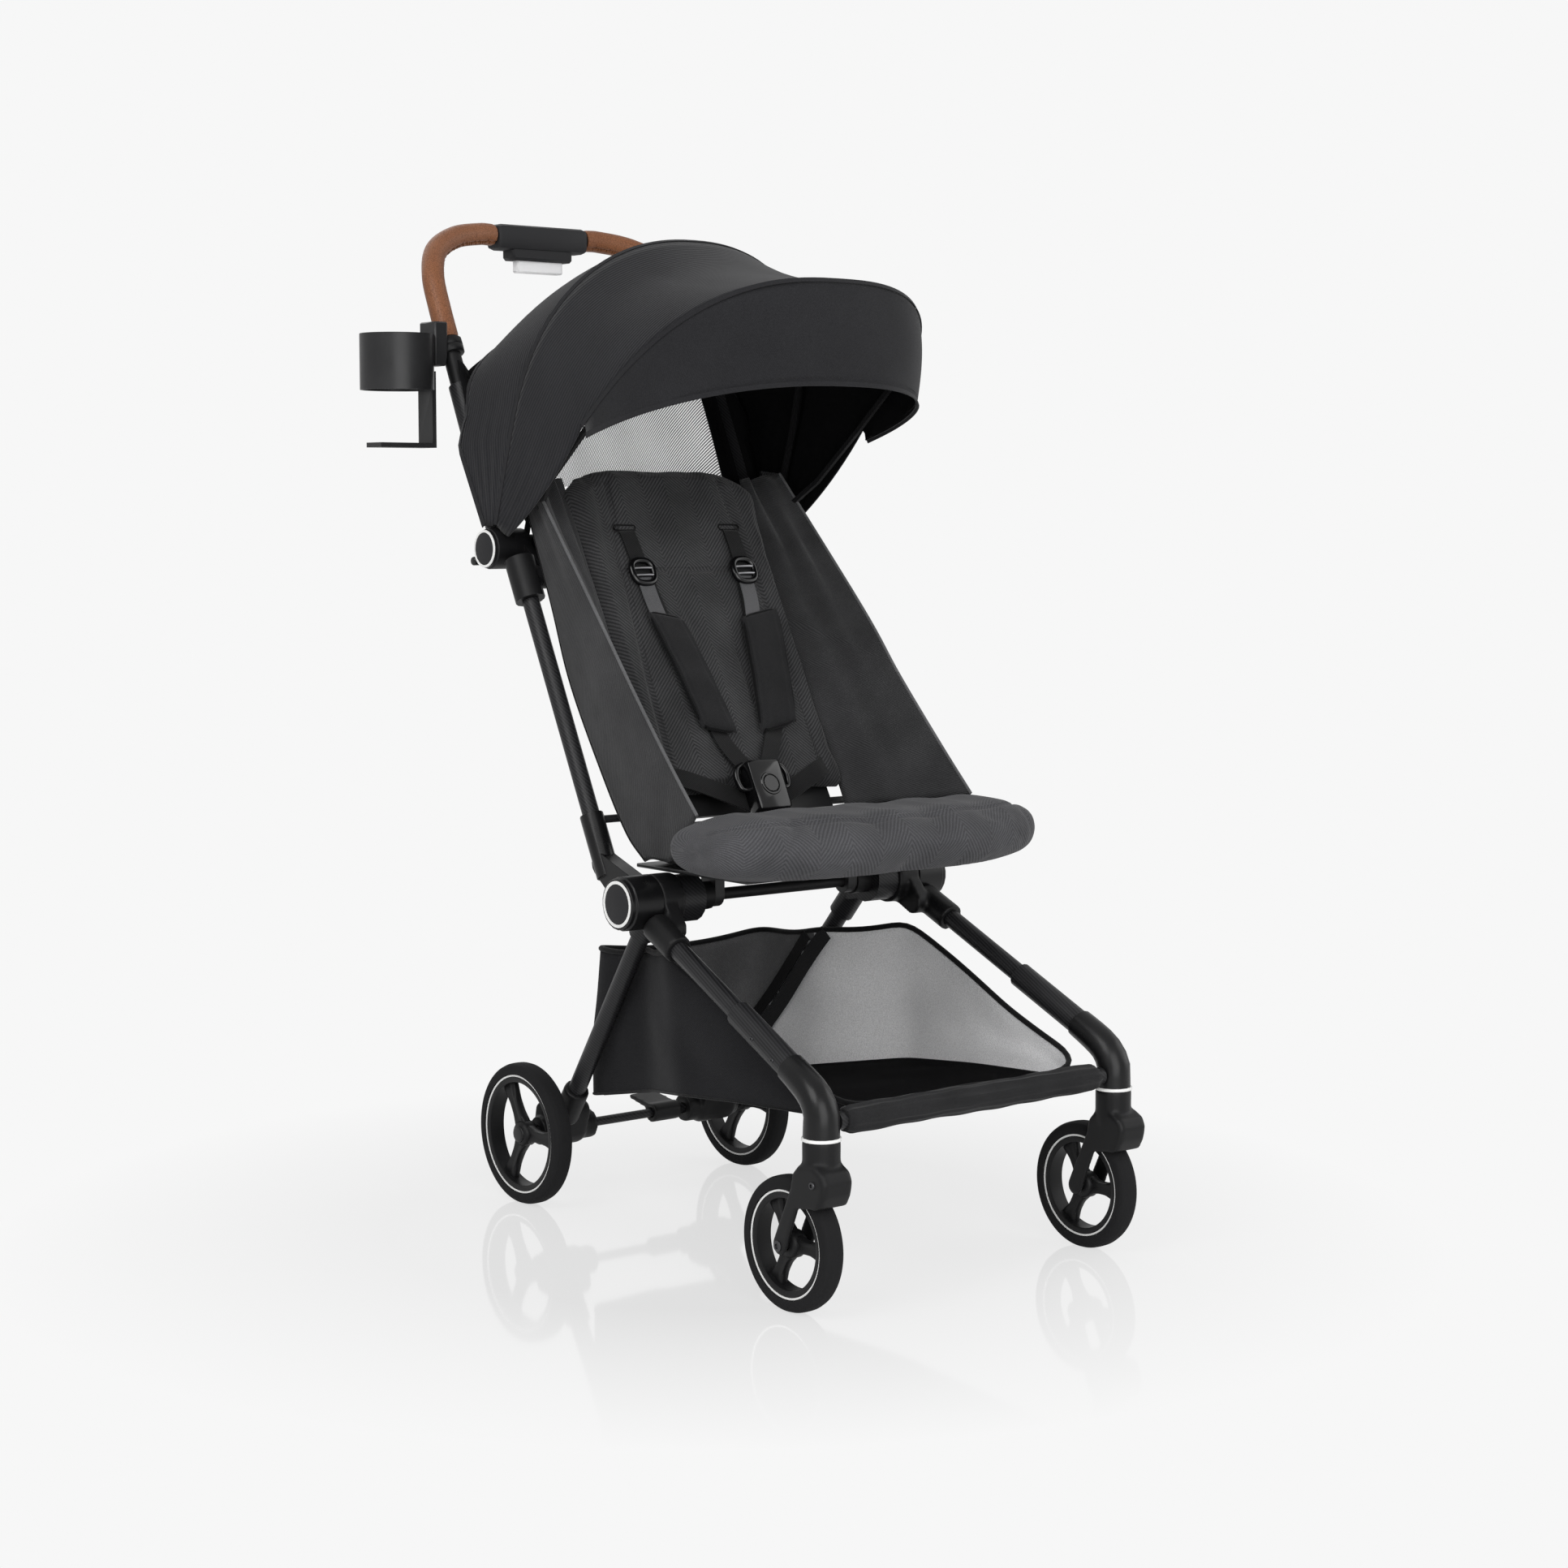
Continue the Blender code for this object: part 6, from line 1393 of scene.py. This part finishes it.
clear = strap["clear"]
for sideName, side, run in (("left", 1, (0.068, 0.0675, 0.066, 0.052, 0.047, 0.033, 0.014)),
                            ("right", -1, (0.068, 0.0675, 0.064, 0.046, 0.030, 0.026, 0.012))):
    heights = ((0.2935, 0.0005), (0.284, clear), (0.24, clear - 0.0015), (0.13, clear), (0.070, clear),
               (0.045, clear - 0.004), (0.016, clear - 0.008))
    path = [backPoint(side * x, t, n) for x, (t, n) in zip(run, heights)]
    strapAlong(f"shoulder_webbing_{sideName}", path, webbing, "backrest")
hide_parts("shoulder_straps")
lapN = strap["clear"] - strap["thick"] - 0.0003
for sideName, side in sides.items():
    lap = [backPoint(side * 0.008, -0.022, lapN), backPoint(side * 0.050, -0.003, lapN),
           backPoint(side * 0.085, 0.013, -0.0022), backPoint(side * 0.106, 0.022, 0.0036)]
    made = strapAlong(f"waist_webbing_{sideName}", lap, webbing, "backrest")
    if side == 1:
        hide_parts("waist_straps")
    # ladder adjuster: a rounded frame with two bright bars
    frameLoop = []
    for step in range(40):
        angle = 2 * math.pi * step / 40
        wide = math.copysign(abs(math.cos(angle)) ** 0.75, math.cos(angle)) * ladder["half"]
        rise = math.copysign(abs(math.sin(angle)) ** 0.75, math.sin(angle)) * ladder["tall"]
        frameLoop.append(backPoint(side * ladder["x"] + wide, ladder["t"] + rise, -0.0072))
    closedPiece(f"ladder_{sideName}", sweep(frameLoop, ladder["frame"], 12, closed=True), gloss, "backrest")
    parts = []
    for rise in ladder["bars"]:
        bar = [backPoint(side * ladder["x"] + x, ladder["t"] + rise,
                         -0.0078 - 0.0008 * (1 - (x / 0.012) ** 2)) for x in
               (-0.012, -0.006, 0, 0.006, 0.012)]
        parts.append(sweep(bar, ladder["bar"], 10))
    closedPiece(f"ladder_bars_{sideName}", joined(parts), plated, "backrest")
    # strap from the adjuster down to the pad, in the webbing whose paler grey is painted sheen
    pale = [backPoint(side * 0.0655, 0.236, clear - 0.0030), backPoint(side * 0.0640, 0.210, clear - 0.0032),
            backPoint(side * 0.0600, 0.186, clear - 0.0026)]
    strapAlong(f"shoulder_loop_{sideName}", pale, sheenPaintedWebbing, "backrest", 0.019, 0.0012)
    # slot in the cover: a pressed edge round it
    slotLoop = [backPoint(side * 0.068 + x, 0.2955 + t, -0.0006) for x, t in slotShape]
    closedPiece(f"strap_slot_{sideName}", sweep(slotLoop, 0.0012, 8, closed=True), binding, "backrest")

shoulderPad = {
    "low": 0.062, "high": 0.192, "thick": 0.0088,
    "right": {"lowX": -0.0300, "highX": -0.0560, "half": 0.0215, "slant": -0.004},
    "left": {"lowX": 0.0470, "highX": 0.0680, "half": 0.0255, "slant": 0.004},
}
for sideName, side in sides.items():
    place = shoulderPad[sideName]

    def shoulderMiddle(u, v, place=place):
        share = (v + 1) / 2
        t = shoulderPad["low"] + (shoulderPad["high"] - shoulderPad["low"]) * share + place["slant"] * u * 1.2
        x = place["lowX"] + (place["highX"] - place["lowX"]) * share
        x += u * place["half"] * (1 - 0.05 * (1 - v * v))
        return backPoint(x, t, -0.0083 - 0.002 * math.sin(math.pi * share)), out

    def shoulderThick(u, v):
        half = shoulderPad["thick"] / 2
        quilt = 0.0010 * math.exp(-((abs(u) - 0.76) / 0.07) ** 2) + 0.0005 * math.sin(v * 9 + u)
        return half - quilt, half

    made = closedPiece(f"shoulder_cushion_{sideName}",
                       padShape(shoulderMiddle, shoulderThick, 24, 60, 12.0, 12.0), padCloth, "backrest")
    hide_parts(f"shoulder_pad_{sideName}")
    edge = []
    for step in range(72):
        angle = 2 * math.pi * step / 72
        u = math.copysign(abs(math.cos(angle)) ** 0.3, math.cos(angle))
        v = math.copysign(abs(math.sin(angle)) ** 0.3, math.sin(angle))
        edge.append(shoulderMiddle(u * 0.99, v * 0.995)[0])
    closedPiece(f"shoulder_binding_{sideName}", sweep(edge, 0.0019, 8, closed=True), binding, "backrest")
    # clip that slides into the buckle's upper corner
    clip = [backPoint(side * x, t, -0.0150) for x, t in clipShape]
    closedPiece(f"buckle_clip_{sideName}", sweep(smoothPath(clip, 6), 0.0030, 10), gloss, "backrest")
crotch = [(0, 0.030, 0.4245), (0, 0.0295, 0.4290), (0, 0.029, 0.4335)]
made = strapAlong("crotch_webbing", crotch, webbing, "seat", 0.020, 0.0026, lambda share: Vector((0, -1, 0)))
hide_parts("crotch_strap")
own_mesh(made)
buckleRing = lathe(backPoint(0, -0.006, -0.0263), backWay,
                   [(-0.0005, 0.0096), (0.0008, 0.0102), (0.0008, 0.0118), (-0.0005, 0.0128)], 48, True)
closedPiece("buckle_ring", buckleRing, gloss, "backrest")
print("harness made")


# Basket and front bar

basketLook = {"thickness": 0.0014, "wallRows": 14, "bulge": 0.0016, "ripple": 0.0035,
              "roomForFloor": (0.304, 0.475)}
floorHalf = ((0.000, -0.262, 0.177), (0.140, -0.260, 0.177), (0.150, -0.245, 0.177), (0.152, -0.120, 0.170),
             (0.150, -0.020, 0.161), (0.106, 0.085, 0.143), (0.093, 0.205, 0.118), (0.084, 0.2215, 0.1155),
             (0.000, 0.2225, 0.115))
rimHalf = ((0.000, -0.2706, 0.189), (0.146, -0.2706, 0.189), (0.156, -0.255, 0.200), (0.157, -0.160, 0.235),
           (0.157, -0.010, 0.303), (0.113, 0.080, 0.290), (0.112, 0.166, 0.280), (0.102, 0.178, 0.279),
           (0.000, 0.180, 0.271))


def loopOf(half, counts, sag):
    right = []
    for number, (a, b) in enumerate(zip(half, half[1:])):
        for step in range(counts[number]):
            share = step / counts[number]
            spot = mixSpots(a, b, share)
            spot.z -= sag[number] * math.sin(math.pi * share)
            right.append(spot)
    right.append(Vector(half[-1]))
    return right + [flipped(spot, -1) for spot in right[1:-1]][::-1]


def eased(loop, times):
    # takes the corners off a closed line
    for _ in range(times):
        loop = [(loop[at - 1] + spot * 2 + loop[(at + 1) % len(loop)]) / 4 for at, spot in enumerate(loop)]
    return loop


counts = (12, 2, 12, 14, 12, 10, 3, 12)
floorLoop = eased(loopOf(floorHalf, counts, (0,) * 8), 4)
rimLoop = eased(loopOf(rimHalf, counts, (0.002, 0, 0.001, -0.003, 0.004, 0.004, 0, 0.002)), 4)
around = len(floorLoop)
wallRows = []
for row in range(basketLook["wallRows"] + 1):
    share = row / basketLook["wallRows"]
    line = []
    for low, high in zip(floorLoop, rimLoop):
        spot = low.lerp(high, share)
        away = Vector((spot.x, (spot.y + 0.02) * 0.35, 0)).normalized()
        ripple = noise.noise(Vector((spot.x * 14, spot.y * 14, share * 2.5))) * basketLook["ripple"]
        line.append(spot + away * (ripple + basketLook["bulge"]) * math.sin(math.pi * share))
    wallRows.append(line)
spots = [spot for row in wallRows for spot in row]
faces = gridFaces(len(wallRows), around, loop=True)


rearLeg = {"y": 0.0376, "z": 0.3442, "back": 0.2189, "down": 0.2812, "across": Vector((0, 0.789, 0.614))}


def behindLeg(spot):
    # how far a spot lies behind the rear leg, seen from the side
    return spot.y - (rearLeg["y"] + (rearLeg["z"] - spot.z) * 0.7785)


faceLooks = []
for row in range(basketLook["wallRows"]):
    for column in range(around):
        centre = (wallRows[row][column] + wallRows[row + 1][(column + 1) % around]) / 2
        faceLooks.append(2 if behindLeg(centre) > 0 else 0)
# floor: shrinking copies of its loop, with a shallow sag
previous = 0
for ring, share in enumerate((0.8, 0.6, 0.4, 0.2)):
    start = len(spots)
    for spot in floorLoop:
        inward = Vector((spot.x * share, spot.y, spot.z - 0.003 * (1 - share)))
        ripple = noise.noise(Vector((inward.x * 20, inward.y * 20, 4))) * 0.002
        spots.append(inward + Vector((0, 0, ripple)))
    for step in range(around):
        after = (step + 1) % around
        faces.append((previous + after, previous + step, start + step, start + after))
        faceLooks.append(4)
    previous = start
half = len(floorLoop) // 2
for step in range(half):
    right = (previous + step, previous + step + 1)
    left = (previous + (around - step) % around, previous + around - step - 1)
    corners = []
    for corner in (right[0], right[1], left[1], left[0]):
        if corner not in corners:
            corners.append(corner)
    if len(corners) > 2:
        faces.append(tuple(corners[::-1]))
        faceLooks.append(4)
uvs = []
run = [0.0]
for a, b in zip(floorLoop, floorLoop[1:]):
    run.append(run[-1] + (b - a).length)
for row in range(len(wallRows)):
    rise = row / basketLook["wallRows"]
    uvs += [(run[at], rise * (floorLoop[at] - rimLoop[at]).length) for at in range(around)]
uvs += [(spot.x, spot.y) for spot in spots[len(uvs):]]
# the inner faces of the walls in front of the rear leg take the pale face with painted backlight
basket = makePiece("basket_cloth", spots, faces,
                   [basketOut, basketInnerPaintedLight, basketOut, basketRear, basketOut, basketFloor], "chassis", uvs,
                   faceLooks)
outward(basket)
solid = basket.modifiers.new("thickness", "SOLIDIFY")
solid.thickness = basketLook["thickness"]
solid.offset = 0
solid.material_offset = 1
solid.material_offset_rim = 0
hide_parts("basket")
bindings = [sweep(rimLoop, 0.0029, 8, closed=True), sweep(floorLoop, 0.0016, 6, closed=True)]
hems = closedPiece("basket_bindings", joined(bindings), binding, "chassis")
# strips sewn inside each side wall, along the rear leg
walls = surfaceOf(basket)
strips = {"basket_leg_strip": (-0.009, 0.0065, binding), "basket_leg_sleeve": (0.0085, 0.0095, padCloth)}
inner = []
for name, (offset, halfWide, look) in strips.items():
    parts = []
    for side in sides.values():
        path, widths, thins = [], [], []
        for step in range(25):
            share = 0.13 + 0.66 * step / 24
            start = Vector((0, rearLeg["y"] + rearLeg["back"] * share, rearLeg["z"] - rearLeg["down"] * share))
            start = start - rearLeg["across"] * offset + shift
            hit, normal, _, _ = walls.ray_cast(start, Vector((side, 0, 0)))
            if hit is None:
                continue
            path.append(hit - shift - Vector((side * 0.0030, 0, 0)))
            widths.append(rearLeg["across"] * halfWide)
            thins.append(Vector((side, 0, 0)))
        parts.append(ribbon(path, widths, thins, 0.0014))
    inner.append(closedPiece(name, joined(parts), look, "chassis"))
for flat in (basket, hems, *inner):
    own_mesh(flat)

barLook = {"half": 0.1605, "radius": 0.0136, "folds": 11}
barPath = [Vector((-barLook["half"] + 2 * barLook["half"] * step / 90, -0.2857, 0.181)) for step in range(91)]


def barShape(angle, share):
    fold = 0.0
    for number in range(barLook["folds"]):
        at = number * 2 * math.pi / barLook["folds"] + 0.10 * math.sin(share * 5 + number * 2.1)
        gap = (angle - at + math.pi) % (2 * math.pi) - math.pi
        strength = 0.75 + 0.25 * math.sin(share * 9 + number * 1.7)
        fold += 0.15 * strength * math.exp(-(gap / 0.15) ** 2)
    ends = min(1.0, 0.82 + min(share, 1 - share) * 12)
    return (0.89 + fold - 0.03 * math.sin(share * 40)) * ends


bar = closedPiece("front_bar_cover", sweep(barPath, barLook["radius"], 48, shape=barShape), padCloth, "chassis")
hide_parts("front_bar")
plugs = []
for side in sides.values():
    plugs.append(sweep([(side * 0.158, -0.2857, 0.181), (side * 0.1685, -0.2857, 0.181)], 0.0085, 24))
closedPiece("front_bar_ends", joined(plugs), filmTube, "chassis")
print("basket and front bar made")


# Camera, light and floor

view = {"azimuth": -38.7841, "pitch": 5.4365, "distance": 2.9354, "look": (0, 0, 0.457), "lens": 66.67,
        "pale": "#F7F7F7",
        "mirrored": 0.55}  # how much of the pale surroundings shows in gloss
camera = bpy.data.objects.new("camera", bpy.data.cameras.new("camera"))
scene.collection.objects.link(camera)
camera.data.lens = view["lens"]
camera.data.sensor_width = 36
camera.data.clip_end = 60
lookAt = Vector(view["look"]) + shift
turn, tip = math.radians(view["azimuth"]), math.radians(view["pitch"])
away = Vector((math.sin(turn) * math.cos(tip), -math.cos(turn) * math.cos(tip), math.sin(tip)))
camera.location = lookAt + away * view["distance"]
camera.rotation_euler = (-away).to_track_quat("-Z", "Y").to_euler()
scene.camera = camera

lamps = {
    "front_softbox": {"from": (-1.3, -3.1, 1.35), "size": 2.6, "watts": 62},
    "key_softbox": {"from": (-2.4, -0.8, 2.6), "size": 1.8, "watts": 40},
    "fill_softbox": {"from": (2.7, -1.4, 1.5), "size": 2.4, "watts": 24},
    "rear_softbox": {"from": (0.4, 2.7, 2.4), "size": 2.2, "watts": 18},
}
for name, lamp in lamps.items():
    data = bpy.data.lights.new(name, "AREA")
    data.energy = lamp["watts"]
    data.size = lamp["size"]
    light = bpy.data.objects.new(name, data)
    scene.collection.objects.link(light)
    light.location = Vector(lamp["from"]) + shift
    light.rotation_euler = (Vector((0, 0, 0.45)) - Vector(lamp["from"])).to_track_quat("-Z", "Y").to_euler()


def paleShare(tree):
    # how much of the pale surroundings a ray sees: all for the camera and through clear parts, less in gloss
    rays = addNode(tree, "ShaderNodeLightPath")
    mirrored = addNode(tree, "ShaderNodeMath", {"operation": "MULTIPLY", 1: view["mirrored"]},
                       {0: rays.outputs["Is Glossy Ray"]})
    seen = addNode(tree, "ShaderNodeMath", {"operation": "MAXIMUM"},
                   {0: rays.outputs["Is Camera Ray"], 1: mirrored.outputs[0]})
    return addNode(tree, "ShaderNodeMath", {"operation": "MAXIMUM"},
                   {0: seen.outputs[0], 1: rays.outputs["Is Transmission Ray"]}).outputs[0]


world = bpy.data.worlds.new("studio") if scene.world is None else scene.world
scene.world = world
world.use_nodes = True
tree = world.node_tree
tree.nodes.clear()
seen = paleShare(tree)
lit = addNode(tree, "ShaderNodeBackground", {"Color": toLinear("#FFFFFF"), "Strength": 0.32})
pale = addNode(tree, "ShaderNodeBackground", {"Color": toLinear(view["pale"]), "Strength": 1.0})
both = addNode(tree, "ShaderNodeMixShader", links={0: seen, 1: lit.outputs[0], 2: pale.outputs[0]})
addNode(tree, "ShaderNodeOutputWorld", links={0: both.outputs[0]})

floorLook = {"half": 9, "closeFrom": 0.34, "closeTo": 0.74, "shade": 0.16, "shine": 0.16, "roughness": 0.06}
floorMesh = bpy.data.meshes.new("floor")
floorMesh.from_pydata([(x * floorLook["half"], y * floorLook["half"], 0) for x,
                       y in ((-1, -1), (1, -1), (1, 1), (-1, 1))], [], [(0, 1, 2, 3)])
floor = bpy.data.objects.new("floor", floorMesh)
scene.collection.objects.link(floor)
# Painted board: it keeps a soft shadow and a faint mirror image close to the object, plain further off
floorPaint = bpy.data.materials.new("pale painted floor")
floorPaint.use_nodes = True
tree = floorPaint.node_tree
tree.nodes.clear()
plain = addNode(tree, "ShaderNodeEmission", {"Color": toLinear(view["pale"]), "Strength": 1.0})
dull = addNode(tree, "ShaderNodeBsdfDiffuse", {"Color": toLinear(view["pale"])})
mirror = addNode(tree, "ShaderNodeBsdfGlossy", {"Color": (1, 1, 1, 1), "Roughness": floorLook["roughness"]})
place = addNode(tree, "ShaderNodeTexCoord")
far = addNode(tree, "ShaderNodeVectorMath", {"operation": "LENGTH"}, {0: place.outputs["Object"]})
close = addNode(tree, "ShaderNodeMapRange", {1: floorLook["closeFrom"], 2: floorLook["closeTo"], 3: 1.0,
                                             4: 0.0}, {0: far.outputs["Value"]})
share = addNode(tree, "ShaderNodeMath", {"operation": "MULTIPLY", 1: floorLook["shade"]}, {0: close.outputs[0]})
shine = addNode(tree, "ShaderNodeMath", {"operation": "MULTIPLY", 1: floorLook["shine"]}, {0: close.outputs[0]})
shaded = addNode(tree, "ShaderNodeMixShader",
                 links={0: share.outputs[0], 1: plain.outputs[0], 2: dull.outputs[0]})
glossed = addNode(tree, "ShaderNodeMixShader",
                  links={0: shine.outputs[0], 1: shaded.outputs[0], 2: mirror.outputs[0]})
final = addNode(tree, "ShaderNodeMixShader", links={0: paleShare(tree), 1: dull.outputs[0],
                                                    2: glossed.outputs[0]})
addNode(tree, "ShaderNodeOutputMaterial", links={0: final.outputs[0]})
floorMesh.materials.append(floorPaint)
scene.view_settings.view_transform = "Standard"
print("camera, light and floor set")
